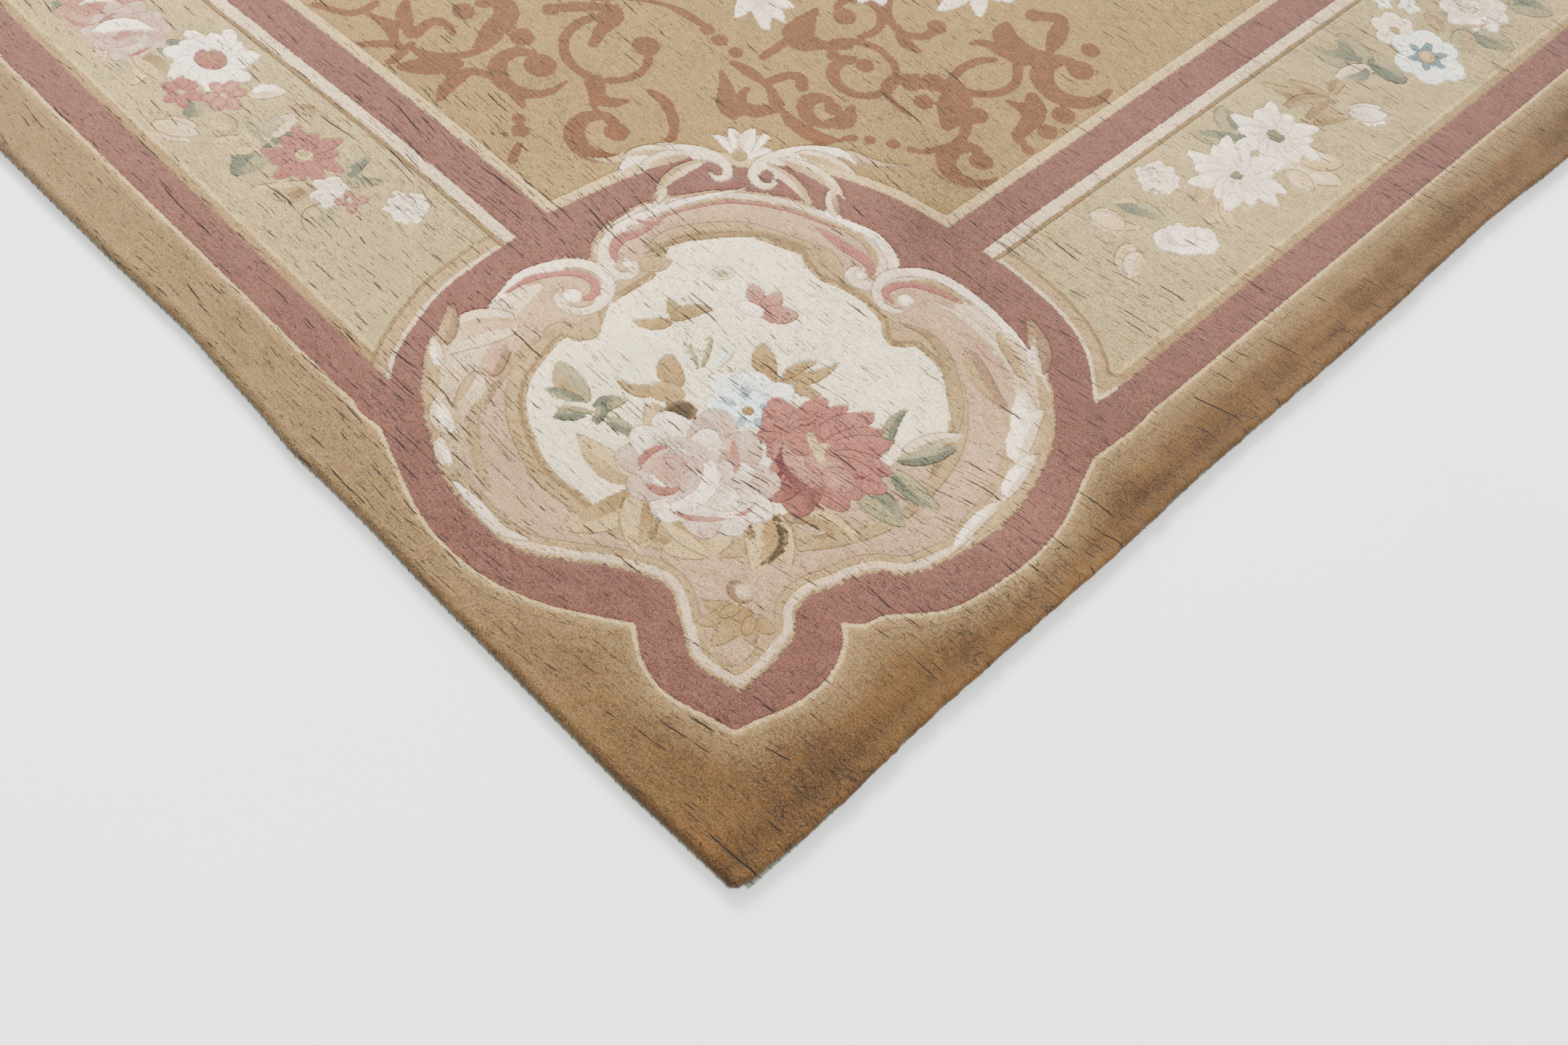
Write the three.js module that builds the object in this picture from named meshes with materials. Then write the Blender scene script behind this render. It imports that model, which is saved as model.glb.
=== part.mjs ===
// Savonnerie rug, 9 by 12 feet, lying flat with its pile up.
// Millimetres, +Z up. X runs across the width (the weft), Y along the length (the warp),
// and the origin is the middle of the underside.

import * as THREE from 'three';

// Overall size, measured over the pile
const RUG_WIDTH = 2743;
const RUG_LENGTH = 3658;
const RUG_HEIGHT = 15;
const CORNER_RADIUS = 12;
const CORNER_STEPS = 3;
const EDGE_STEP = 58;

// Binding tape sewn under the pile all round, one strip to each edge
const BINDING_WIDTH = 5;
const BINDING_HEIGHT = 3;
const BINDING_REVEAL = 0.8;
const PIECE_GAP = 0.3;

// How far the knotted body stands back from the outermost pile, level by level.
// The lowest two levels are the foundation, which the binding runs against.
const FOUNDATION_INSET = BINDING_REVEAL + BINDING_WIDTH + PIECE_GAP;
const CORNER_REACH = CORNER_RADIUS + FOUNDATION_INSET;
const FOUNDATION_HEIGHT = BINDING_HEIGHT + PIECE_GAP;
const EDGE_PROFILE = [
  { height: 0, inset: FOUNDATION_INSET },
  { height: FOUNDATION_HEIGHT, inset: FOUNDATION_INSET },
  { height: FOUNDATION_HEIGHT + 0.5, inset: 0.9 },
  { height: 7, inset: 0 },
  { height: 11.2, inset: 1.8 },
  { height: 13.8, inset: 5.5 },
  { height: RUG_HEIGHT, inset: 13 },
];

// The edges are not quite straight. Each row is a share of the edge's own length,
// counter-clockwise seen from above, and how far the edge draws in there.
const EDGE_DRIFT = {
  front: [
    { share: 0, inset: 0 },
    { share: 0.15, inset: 8 },
    { share: 0.32, inset: 4 },
    { share: 0.5, inset: 7 },
    { share: 0.62, inset: 9 },
    { share: 0.683, inset: 10 },
    { share: 0.716, inset: 13.5 },
    { share: 0.75, inset: 9 },
    { share: 0.79, inset: 1 },
    { share: 0.81, inset: 4 },
    { share: 0.86, inset: 1 },
    { share: 0.95, inset: 0 },
    { share: 0.98, inset: 3 },
    { share: 1, inset: 5 },
  ],
  right: [
    { share: 0, inset: 0 },
    { share: 0.02, inset: 0.5 },
    { share: 0.08, inset: 9 },
    { share: 0.15, inset: 10 },
    { share: 0.18, inset: 14 },
    { share: 0.26, inset: 14 },
    { share: 0.34, inset: 20 },
    { share: 0.37, inset: 15 },
    { share: 0.5, inset: 16 },
    { share: 0.72, inset: 11 },
    { share: 0.86, inset: 14 },
    { share: 0.95, inset: 9 },
    { share: 1, inset: 0 },
  ],
  back: [
    { share: 0, inset: 4 },
    { share: 0.05, inset: 0 },
    { share: 0.3, inset: 8 },
    { share: 0.55, inset: 3 },
    { share: 0.8, inset: 9 },
    { share: 1, inset: 0 },
  ],
  left: [
    { share: 0, inset: 0 },
    { share: 0.06, inset: 9 },
    { share: 0.18, inset: 14 },
    { share: 0.37, inset: 10 },
    { share: 0.6, inset: 16 },
    { share: 0.84, inset: 12 },
    { share: 0.95, inset: 9 },
    { share: 1, inset: 0 },
  ],
};

// Each edge starts at its corner and runs counter-clockwise; inward is to its left.
const HALF_WIDTH = RUG_WIDTH / 2;
const HALF_LENGTH = RUG_LENGTH / 2;
const EDGES = [
  { name: 'front', start: [-HALF_WIDTH, -HALF_LENGTH], along: [1, 0], length: RUG_WIDTH },
  { name: 'right', start: [HALF_WIDTH, -HALF_LENGTH], along: [0, 1], length: RUG_LENGTH },
  { name: 'back', start: [HALF_WIDTH, HALF_LENGTH], along: [-1, 0], length: RUG_WIDTH },
  { name: 'left', start: [-HALF_WIDTH, HALF_LENGTH], along: [0, -1], length: RUG_LENGTH },
];

// Eases from row to row of a drift table, flat at every row.
function driftAt(table, share) {
  const next = Math.max(1, table.findIndex((row) => row.share >= share));
  const before = table[next - 1];
  const after = table[next];
  const part = (share - before.share) / (after.share - before.share);
  const eased = part * part * (3 - 2 * part);
  return before.inset + (after.inset - before.inset) * eased;
}

// A point on an edge, at a distance from its start and drawn in by the drift and the inset.
function edgePoint(edge, distance, inset) {
  const drawn = inset + driftAt(EDGE_DRIFT[edge.name], distance / edge.length);
  const [ax, ay] = edge.along;
  return [
    edge.start[0] + ax * distance - ay * drawn,
    edge.start[1] + ay * distance + ax * drawn,
  ];
}

// The distances along an edge between its two corner roundings.
function edgeDistances(edge) {
  const span = edge.length - 2 * CORNER_REACH;
  const steps = Math.ceil(span / EDGE_STEP);
  return Array.from({ length: steps + 1 }, (_, i) => CORNER_REACH + (span * i) / steps);
}

// A closed ring of points round the rug at one inset, with a rounded corner after each edge.
function ringAt(inset) {
  return EDGES.flatMap((edge, index) => {
    const run = edgeDistances(edge).map((distance) => edgePoint(edge, distance, inset));
    const following = EDGES[(index + 1) % EDGES.length];
    const from = run[run.length - 1];
    const to = edgePoint(following, CORNER_REACH, inset);
    const alongEdge = edge.along[0] !== 0;
    const tip = alongEdge ? [to[0], from[1]] : [from[0], to[1]];
    const curve = new THREE.QuadraticBezierCurve(
      new THREE.Vector2(...from),
      new THREE.Vector2(...tip),
      new THREE.Vector2(...to),
    );
    const corner = curve.getPoints(CORNER_STEPS).slice(1, -1);
    return [...run, ...corner.map((point) => [point.x, point.y])];
  });
}

// Joins equal rings of points into a closed solid: walls between the rings, a cap at each end.
function stackedSolid(levels) {
  const count = levels[0].ring.length;
  const positions = levels.flatMap(({ ring, height }) => ring.flatMap(([x, y]) => [x, y, height]));
  const indices = [];
  for (let level = 0; level + 1 < levels.length; level += 1) {
    for (let i = 0; i < count; i += 1) {
      const low = level * count;
      const high = low + count;
      const j = (i + 1) % count;
      indices.push(low + i, low + j, high + j, low + i, high + j, high + i);
    }
  }
  const capOf = ({ ring }) =>
    THREE.ShapeUtils.triangulateShape(ring.map(([x, y]) => new THREE.Vector2(x, y)), []);
  for (const [a, b, c] of capOf(levels[0])) {
    indices.push(a, c, b);
  }
  const last = (levels.length - 1) * count;
  for (const [a, b, c] of capOf(levels[levels.length - 1])) {
    indices.push(last + a, last + b, last + c);
  }
  const geometry = new THREE.BufferGeometry();
  geometry.setAttribute('position', new THREE.Float32BufferAttribute(positions, 3));
  geometry.setIndex(indices);
  geometry.computeVertexNormals();
  return geometry;
}

// The knotted body: foundation and pile in one, round-shouldered at the rim, flat below.
function rugBody() {
  return stackedSolid(EDGE_PROFILE.map(({ height, inset }) => ({ height, ring: ringAt(inset) })));
}

// One strip of binding along an edge, with its bends where the body's are. The strips on
// the long edges stop short of the corners, and the end strips run on to the full width.
function bindingStrip(edge) {
  const outer = BINDING_REVEAL;
  const inner = BINDING_REVEAL + BINDING_WIDTH;
  const isEnd = edge.along[0] !== 0;
  const run = edgeDistances(edge);
  const distances = isEnd ? [CORNER_RADIUS, ...run, edge.length - CORNER_RADIUS] : run;
  const outside = distances.map((distance) => edgePoint(edge, distance, outer));
  const inside = distances.map((distance) => edgePoint(edge, distance, inner)).reverse();
  const ring = [...outside, ...inside];
  return stackedSolid([
    { height: 0, ring },
    { height: BINDING_HEIGHT, ring },
  ]);
}

const group = new THREE.Group();

const pile = new THREE.MeshStandardMaterial({ color: 0xbfa06f, roughness: 0.95, metalness: 0 });
const rug = new THREE.Mesh(rugBody(), pile);
rug.name = 'rug_body';
group.add(rug);

for (const edge of EDGES) {
  const tape = new THREE.MeshStandardMaterial({ color: 0xcfc5ab, roughness: 0.9, metalness: 0 });
  const strip = new THREE.Mesh(bindingStrip(edge), tape);
  strip.name = `binding_${edge.name}`;
  group.add(strip);
}

export default group;
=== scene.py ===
"""Savonnerie rug: carved wool pile with its drawn design, knotted back, bound edges, stage.

The design is drawn on a chart of one quarter and mirrored to the other three. Chart places
are in millimetres: p is the distance in from a long edge, q the distance in from a short end.
"""
import math
from functools import reduce
from itertools import starmap

import bpy
import numpy as np
from mathutils import Matrix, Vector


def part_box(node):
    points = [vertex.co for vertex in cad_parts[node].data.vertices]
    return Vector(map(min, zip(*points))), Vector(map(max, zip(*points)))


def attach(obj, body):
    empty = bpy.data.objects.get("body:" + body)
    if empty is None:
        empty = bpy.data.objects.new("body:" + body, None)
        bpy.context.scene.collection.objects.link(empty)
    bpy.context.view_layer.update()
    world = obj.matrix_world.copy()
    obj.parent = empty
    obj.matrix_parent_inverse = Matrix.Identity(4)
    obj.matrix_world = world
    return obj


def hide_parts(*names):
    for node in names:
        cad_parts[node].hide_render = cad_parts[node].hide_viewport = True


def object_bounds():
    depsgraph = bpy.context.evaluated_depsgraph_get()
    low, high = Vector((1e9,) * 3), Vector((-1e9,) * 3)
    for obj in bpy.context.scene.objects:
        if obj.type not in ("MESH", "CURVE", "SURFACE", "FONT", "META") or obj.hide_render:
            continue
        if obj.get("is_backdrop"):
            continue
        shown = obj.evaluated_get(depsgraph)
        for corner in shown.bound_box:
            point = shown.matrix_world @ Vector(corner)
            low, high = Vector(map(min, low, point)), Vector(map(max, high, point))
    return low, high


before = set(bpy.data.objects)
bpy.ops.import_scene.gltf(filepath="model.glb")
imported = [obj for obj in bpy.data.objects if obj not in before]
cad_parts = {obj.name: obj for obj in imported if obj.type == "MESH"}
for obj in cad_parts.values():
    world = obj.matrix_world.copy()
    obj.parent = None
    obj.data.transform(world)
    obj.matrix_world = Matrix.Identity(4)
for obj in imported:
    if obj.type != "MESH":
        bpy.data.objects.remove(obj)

bl_info = {
    "name": "Savonnerie rug",
    "version": (1, 0, 0),
    "blender": (4, 5, 0),
    "location": "View3D > Sidebar > Rug",
    "description": "Makes a carved savonnerie rug with its design, back, binding and stage",
    "category": "Add Mesh",
}

CAD_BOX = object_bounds()
BODY_LOW, BODY_HIGH = (np.array(corner, float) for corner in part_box("rug_body"))
HALF_WIDTH = float(BODY_HIGH[0] - BODY_LOW[0]) / 2
HALF_LENGTH = float(BODY_HIGH[1] - BODY_LOW[1]) / 2
PILE_TOP = float(BODY_HIGH[2])
HALVES = (HALF_WIDTH, HALF_LENGTH)

# Each edge's axis, 0 for x and 1 for y, and the side of the rug that it is on.
EDGES = {"front": (1, -1), "right": (0, 1), "back": (1, 1), "left": (0, -1)}

# How far the roundings of the corners reach along the edges, and the binding's sizes.
CORNER_REACH = 0.0175
BINDING_WIDTH, BINDING_HEIGHT, BINDING_REVEAL = 0.005, 0.003, 0.0008

# Metres in a millimetre, a distance past any line of the chart, and the chart's limits.
MM = 0.001
FAR = 99.0
WHOLE_CHART = ([-FAR, -FAR], [20000, 20000])

# How far the drawn design lies from the outermost pile, across and along, and its middles.
DESIGN_SHIFT = (-14, 3)
MID_ACROSS = HALF_WIDTH / MM + DESIGN_SHIFT[0]
MID_ALONG = HALF_LENGTH / MM + DESIGN_SHIFT[1]

# The view of the lit wool: how far colours draw together in it, the gain, power and shoulder
# of its tones, and how far colours stand apart again.
VIEW_SHRINK, VIEW_GAIN, VIEW_POWER, VIEW_SHOULDER, VIEW_GROWTH = 0.53, 0.235, 1.184, 1.05, 1.9


def dyed(red, green, blue):
    """The wool colour that looks like a screen colour from 0 to 255 under the stage's light.
    The screen colour is made linear and its differences from its mean shrink, each part
    takes a power and grows as the view's shoulder asks, and the differences grow back."""
    shares = np.array([red, green, blue]) / 255
    light = np.where(shares <= 0.04045, shares / 12.92, ((shares + 0.055) / 1.055) ** 2.4)
    light = light.mean() + VIEW_SHRINK * (light - light.mean())
    wool = VIEW_GAIN * light ** VIEW_POWER / (1 - VIEW_SHOULDER * light)
    wool = wool.mean() + VIEW_GROWTH * (wool - wool.mean())
    return tuple(float(v) for v in np.clip(wool, 0.004, 0.93))


def yarn(name, description, red, green, blue):
    """A property that holds one dyed yarn's colour."""
    return bpy.props.FloatVectorProperty(
        name=name,
        description=description,
        default=dyed(red, green, blue),
        subtype="COLOR",
        size=3,
        min=0.0,
        max=1.0,
    )


class RugYarns(bpy.types.PropertyGroup):
    """The dyed wools of the design."""

    gold: yarn("Gold", "Ground of the outer border", 178, 157, 126)
    # Painted shade: the outer border's gold where the leaning pile looks shaded.
    painted_shade_gold: yarn("Bronze", "Shaded side of the outer border", 156, 126, 90)
    honey: yarn("Honey", "Light strip beside the outer band", 190, 170, 138)
    field: yarn("Field gold", "Ground of the field", 188, 168, 132)
    cocoa: yarn("Cocoa", "Scrolls of the field", 164, 126, 96)
    madder: yarn("Madder rose", "The plain bands and the medallion's ring", 167, 129, 117)
    panel: yarn("Panel cream", "Ground of the flower borders", 200, 188, 160)
    cream: yarn("Cream", "Lines beside the bands", 210, 197, 171)
    ivory: yarn("Ivory", "Scrolls and shells", 215, 205, 190)
    white: yarn("White", "Lit petals and leaf tips", 224, 219, 212)
    ground: yarn("Medallion ground", "Pale ground behind the bouquet", 221, 216, 204)
    straw: yarn("Straw", "Rim of the medallion", 198, 181, 152)
    tan: yarn("Tan", "Shading lines", 180, 159, 127)
    umber: yarn("Umber", "Shaded leaves of the frame", 182, 158, 134)
    blush: yarn("Blush", "Inner zone of the frame", 204, 186, 166)
    coral: yarn("Coral", "Red accents and small blooms", 194, 152, 142)
    crimson: yarn("Crimson", "Body of the red rose", 191, 150, 140)
    wine: yarn("Wine", "Folds of the red rose", 150, 100, 94)
    shell: yarn("Shell pink", "Body of the pink rose", 210, 200, 188)
    petal: yarn("Petal pink", "Warm parts of pale blooms", 204, 178, 164)
    sage: yarn("Sage", "Cool leaves", 152, 154, 134)
    moss: yarn("Moss", "Pale leaves", 190, 182, 156)
    ochre: yarn("Ochre", "Tan blooms", 190, 168, 132)
    slate: yarn("Slate blue", "Marks of the blue bloom", 158, 170, 172)
    mist: yarn("Mist blue", "Petals of the blue bloom", 216, 219, 217)
    bark: yarn("Bark", "Darkest brown", 130, 111, 88)


def metres(name, description, default):
    """A property that holds a length."""
    return bpy.props.FloatProperty(
        name=name, description=description, default=default, unit="LENGTH")


class RugSizes(bpy.types.PropertyGroup):
    """The sizes that shape the pile and its knots."""

    knot: metres("Knot pitch", "Distance from knot to knot", 0.0034)
    shoulder: metres("Shoulder", "How far in from the edge the pile starts to round over", 0.014)
    carving: metres("Carving depth", "Depth of the grooves clipped round the motifs", 0.0016)
    ripple: metres("Ripple", "Rise and fall of the surface where it was folded", 0.0009)
    crease: metres("Crease", "Depth of the crease beside the long edges", 0.0018)
    tuft: metres("Tuft", "Unevenness of the cut pile at the long edges", 0.0026)


def palette():
    """Every yarn's colour by its name, as arrays."""
    held = bpy.context.scene.rug_yarns
    return {name: np.array(getattr(held, name), float) for name in RugYarns.__annotations__}


# Chart shapes

CURVE_STEP = 5.0


class Shape:
    """An area of the chart. measure(p, q) gives the signed distance to its edge, negative
    inside, and a share from 0 to 1 that shading follows."""

    def __init__(self, low, high, measure):
        self.low = low
        self.high = high
        self.measure = measure

    def grown(self, by):
        """The same area with its edge moved outwards."""
        def measure(p, q):
            distance, share = self.measure(p, q)
            return distance - by, share
        return Shape([v - by for v in self.low], [v + by for v in self.high], measure)

    def combined(self, other, choose, low, high):
        """An area from two: its distance is chosen from theirs, its share is the first's."""
        def measure(p, q):
            distance, share = self.measure(p, q)
            return choose(distance, other.measure(p, q)[0]), share
        lows, highs = zip(self.low, other.low), zip(self.high, other.high)
        return Shape([low(pair) for pair in lows], [high(pair) for pair in highs], measure)

    def within(self, other):
        """The part of the area that lies in another: the larger of the two distances."""
        return self.combined(other, np.maximum, max, min)

    def joined(self, other):
        """Both areas together: the smaller of the two distances."""
        return self.combined(other, np.minimum, min, max)


def everywhere(distance):
    """A plain shape that may reach over the whole chart, from a function of p and q."""
    return Shape(*WHOLE_CHART, lambda p, q: (distance(p, q), np.zeros_like(p)))


def curve(points, closed=False):
    """A smooth line through the points: on each span the cubic that leaves both ends
    parallel to the line between their neighbours. A point given twice is a corner."""
    knots = np.array(points, float)
    if closed:
        ring = np.vstack([knots[-1:], knots, knots[:2]])
    else:
        ring = np.vstack([knots[:1], knots, knots[-1:]])
    a, b, c, d = ring[:-3], ring[1:-2], ring[2:-1], ring[3:]
    counts = np.ceil(np.linalg.norm((c - b)[:, :2], axis=1) / CURVE_STEP).astype(int)
    span = np.repeat(np.arange(len(counts)), counts)
    first = np.cumsum(counts) - counts
    t = ((np.arange(counts.sum()) - first[span]) / counts[span])[:, None]
    a, b, c, d = a[span], b[span], c[span], d[span]
    line = b + 0.5 * t * (c - a + t * (2 * a - 5 * b + 4 * c - d + t * (3 * (b - c) + d - a)))
    return line if closed else np.vstack([line, knots[-1:]])


def nearest_on(p, q, start, end):
    """The nearest point of a straight line to each place: how far along it lies, as a
    share, and the two steps from it to the place."""
    dp, dq = end[0] - start[0], end[1] - start[1]
    along = ((p - start[0]) * dp + (q - start[1]) * dq) / max(dp * dp + dq * dq, 1e-9)
    along = np.clip(along, 0, 1)
    return along, p - start[0] - along * dp, q - start[1] - along * dq


def outline(points):
    """A closed plain area through the points."""
    line = curve(points, closed=True)
    ends = np.roll(line, -1, axis=0)

    def measure(p, q):
        nearest = np.full(p.shape, 1e9)
        inside = np.zeros(p.shape, bool)
        for start, end in zip(line, ends):
            along, step_p, step_q = nearest_on(p, q, start, end)
            nearest = np.minimum(nearest, step_p ** 2 + step_q ** 2)
            if start[1] != end[1]:
                crosses = (start[1] > q) != (end[1] > q)
                run, rise = end - start
                inside ^= crosses & (p < start[0] + (q - start[1]) * run / rise)
        return np.where(inside, -1, 1) * np.sqrt(nearest), np.zeros(p.shape)
    return Shape(line.min(0), line.max(0), measure)


def ribbon(rows, smooth=True):
    """A stroke through rows of p, q and width. The share runs from its start to its end."""
    line = curve(rows) if smooth else np.array(rows, float)
    half = np.maximum(line[:, 2] / 2, 0.3)
    spans = len(line) - 1

    def measure(p, q):
        best = np.full(p.shape, 1e9)
        share = np.zeros(p.shape)
        for i in range(spans):
            along, step_p, step_q = nearest_on(p, q, line[i], line[i + 1])
            gap = np.hypot(step_p, step_q) - half[i] - along * (half[i + 1] - half[i])
            nearer = gap < best
            best = np.where(nearer, gap, best)
            share = np.where(nearer, (i + along) / spans, share)
        return best, share
    return Shape(line[:, :2].min(0) - half.max(), line[:, :2].max(0) + half.max(), measure)


def disc(centre, radius, stretch=1.0, turn=0.0):
    """An ellipse: its half-width across the turn is the radius times the stretch.
    The share is 0 at the middle and 1 at the rim."""
    cos, sin = math.cos(math.radians(turn)), math.sin(math.radians(turn))
    reach = radius * max(1.0, stretch)

    def measure(p, q):
        dx, dy = centre[0] - p, q - centre[1]
        size = np.hypot(dx * cos + dy * sin, (dy * cos - dx * sin) / stretch) / radius
        return (size - 1) * radius * min(1.0, stretch), np.clip(size, 0, 1)
    return Shape([c - reach for c in centre], [c + reach for c in centre], measure)


def leaf(base, tip, width, bend=0.0, side=0.0):
    """A pointed leaf or petal: a bow from base to tip, widest at two fifths. The bend is
    the bow's height as a share of the length, to the left of its way. The side moves the
    axis to the left by that share of its half-width and narrows the leaf by as much, so
    that 0.5 gives its left half and -0.5 its right one."""
    t = np.linspace(0, 1, 8)
    way = np.array(tip, float) - np.array(base, float)
    left = np.array([way[1], -way[0]])
    breadth = width * np.sin(math.pi * t ** 0.78) ** 0.8 + 0.8
    shift = 4 * bend * t * (1 - t) + side * breadth / 2 / np.linalg.norm(way)
    axis = np.array(base, float) + t[:, None] * way + shift[:, None] * left
    return ribbon(np.column_stack([axis, breadth * (1 - abs(side))]), smooth=False)


def at_angle(centre, radius, angle):
    """The place at an angle seen from above the front right corner, 0 to the right."""
    turn = math.radians(angle)
    return (centre[0] - radius * math.cos(turn), centre[1] + radius * math.sin(turn))


def scroll(centre, radius, end_radius, start, sweep, widths):
    """A spiral stroke: the radius eases from its first to its last value over the sweep,
    and the widths are spread evenly along it."""
    steps = max(6, int(abs(sweep) / 12))
    t = np.linspace(0, 1, steps + 1)
    reach = radius + (end_radius - radius) * t ** 1.3
    turn = np.radians(start + sweep * t)
    breadth = np.interp(t, np.linspace(0, 1, len(widths)), widths)
    rows = np.column_stack([
        centre[0] - reach * np.cos(turn), centre[1] + reach * np.sin(turn), breadth])
    return ribbon(rows, smooth=False)


class Chart:
    """The quarter's design, cell by cell. Each cell holds two yarns at its four corners,
    an inner and an outer one, and the signed distance to the line between them, so that
    a line may cross a cell anywhere. Shapes are laid in order, each over the last."""

    # How far from a line, in millimetres, a cell still holds it.
    NEAR = 1.8

    def __init__(self, across, along, colours, ground):
        self.across = across + DESIGN_SHIFT[0]
        self.along = along + DESIGN_SHIFT[1]
        self.colours = colours
        self.p, self.q = np.meshgrid(self.across, self.along, indexing="ij")
        cells = (len(across) - 1, len(along) - 1, 4)
        self.inner = np.tile(colours[ground], cells + (1,))
        self.outer = self.inner.copy()
        self.gap = np.full(cells, FAR)
        self.groove = np.zeros(cells)
        self.relief = np.zeros(self.p.shape)

    @staticmethod
    def corners(values):
        """The values at the four corners of every cell, anticlockwise."""
        return np.stack([values[:-1, :-1], values[1:, :-1], values[1:, 1:], values[:-1, 1:]], 2)

    def lay(self, shape, yarn_name, second=None, carve=0.0, ease=1.0):
        """Lays a shape in one yarn, or shading to a second one as the share rises."""
        margin = self.NEAR + 1
        i0 = max(np.searchsorted(self.across, shape.low[0] - margin) - 1, 0)
        i1 = min(np.searchsorted(self.across, shape.high[0] + margin) + 1, len(self.across))
        j0 = max(np.searchsorted(self.along, shape.low[1] - margin) - 1, 0)
        j1 = min(np.searchsorted(self.along, shape.high[1] + margin) + 1, len(self.along))
        if i1 - i0 < 2 or j1 - j0 < 2:
            return
        points = np.s_[i0:i1, j0:j1]
        cells = np.s_[i0:i1 - 1, j0:j1 - 1]
        distance, share = shape.measure(self.p[points], self.q[points])
        first = self.colours[yarn_name]
        last = self.colours[second or yarn_name]
        blend = (share ** ease)[..., None]
        colour = self.corners(first * (1 - blend) + last * blend)
        away = self.corners(distance)

        # The carving lowers points by the edge, and the area's inside starts level again.
        groove = np.exp(-(distance / 2.6) ** 2) * carve
        settled = np.where(distance < 0, 0, self.relief[points])
        self.relief[points] = np.maximum(settled, groove)

        # Touched cells take the new yarn inside its line, and keep outside it the yarn that
        # was there.
        inner, outer = self.inner[cells], self.outer[cells]
        gap, cut = self.gap[cells], self.groove[cells]
        low, high = away.min(2), away.max(2)
        plain = gap.min(2) > FAR / 2
        touched = (low < 0) | (plain & (low < self.NEAR))
        outside = away > 0
        weight = np.maximum(outside.sum(2), 1)
        old_gap = np.where(outside, gap, 0).sum(2) / weight
        under = np.where((old_gap < 0)[..., None, None], inner, outer)
        self.outer[cells] = np.where(touched[..., None, None], under, outer)
        self.inner[cells] = np.where(touched[..., None, None], colour, inner)
        self.gap[cells] = np.where(touched[..., None], away, gap)
        self.groove[cells] = np.where(touched[..., None], carve, cut)

        # Cells deep inside have one yarn and no line.
        deep = high < -self.NEAR
        self.outer[cells] = np.where(deep[..., None, None], colour, self.outer[cells])
        self.gap[cells] = np.where(deep[..., None], FAR, self.gap[cells])

    def lay_all(self, shapes, *yarns, **finish):
        """Lays several shapes in the same yarns."""
        for shape in shapes:
            self.lay(shape, *yarns, **finish)


# Bands, panels and field

# The two lines of each plain band, and where the bands end, on the long side and the short.
OUTER_BAND, OUTER_ENDS = (82, 123), (592, 545)
INNER_LONG, INNER_SHORT, INNER_ENDS = (336, 381), (337, 384), (700, 645)

# How far the short end's inner band bows out and where that starts, and the cream line.
BOW, BOW_START = 30, 650
CREAM_LINE = 13

# The ring's outer line, from the long edge's band round the corner to the short end's band,
# then back along the two panels and the field's corner.
RING = [
    (82, 680), (82, 592), (82, 592), (67, 552), (50, 506), (43, 455), (47, 400), (57, 352),
    (77, 320), (93, 298), (99, 277), (114, 262), (114, 262), (98, 249), (85, 224), (80, 195),
    (84, 160), (92, 134), (97, 111), (97, 111), (126, 102), (162, 91), (198, 96), (234, 118),
    (234, 118), (264, 96), (302, 70), (350, 50), (400, 43), (450, 48), (500, 65), (545, 82),
    (545, 82), (583, 82), (583, 122), (583, 122), (606, 150), (626, 190), (641, 236), (647, 284),
    (650, 336), (650, 336), (655, 386), (655, 386), (650, 425), (645, 470), (638, 505), (630, 545),
    (606, 575), (583, 588), (571, 604), (558, 622), (545, 643), (518, 658), (490, 673), (455, 689),
    (420, 699), (383, 706), (383, 706), (336, 711), (336, 711), (300, 715), (250, 714), (216, 709),
    (190, 700), (165, 685), (125, 646), (125, 646), (122, 680), (122, 680),
]

# The inner line of the ring, where the scrolled frame begins.
INSIDE = [
    (375, 604), (375, 604), (366, 628), (344, 649), (305, 660), (262, 654), (222, 643), (180, 637),
    (150, 613), (125, 583), (107, 546), (95, 505), (87, 468), (90, 425), (97, 382), (108, 350),
    (128, 330), (138, 312), (144, 288), (152, 263), (149, 240), (133, 223), (126, 195), (122, 170),
    (122, 142), (122, 142), (148, 134), (175, 132), (205, 148), (245, 167), (285, 148), (325, 115),
    (355, 93), (390, 84), (430, 85), (470, 92), (510, 110), (548, 132), (580, 160), (603, 190),
    (598, 218), (593, 248), (601, 275), (609, 310), (606, 342), (597, 362), (580, 378), (580, 378),
    (597, 393), (608, 425), (608, 460), (602, 487), (588, 516), (571, 548), (545, 577), (515, 602),
    (483, 618), (455, 630), (425, 636), (396, 628), (382, 615),
]

# The pale ground behind the bouquet, scalloped at the top and at the left.
GROUND = [
    (291, 558), (262, 556), (235, 541), (212, 520), (196, 500), (184, 474), (176, 440), (172, 405),
    (175, 370), (190, 330), (215, 290), (250, 240), (290, 200), (335, 181), (375, 175), (410, 173),
    (445, 184), (475, 200), (500, 226), (514, 262), (521, 287), (521, 287), (506, 298), (503, 316),
    (514, 334), (524, 352), (524, 385), (524, 415), (538, 438), (543, 462), (531, 490), (512, 518),
    (495, 532), (470, 544), (453, 553), (453, 553), (436, 546), (415, 544), (397, 552), (397, 552),
    (365, 558), (335, 553), (335, 553), (322, 541), (307, 539), (291, 558),
]


def bow(p):
    """How far the inner band of the short end has drifted outwards, easing to mid-end."""
    t = np.clip((p - BOW_START) / (MID_ACROSS - BOW_START), 0, 1)
    return BOW * t * t * (3 - 2 * t)


def off_band(places, band):
    """The signed distance from places to the band between two lines."""
    return np.abs(places - sum(band) / 2) - (band[1] - band[0]) / 2


def shaded_side(p, q):
    """How much painted shade the outer border takes: along the long edge, and where the end nears
    it.
    """
    long_edge = np.clip((100 - p) / 60, 0, 1)
    end = np.clip(1.06 - p / 430, 0, 1) * np.clip((140 - q) / 60, 0, 1)
    return np.maximum(long_edge, end)


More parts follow.
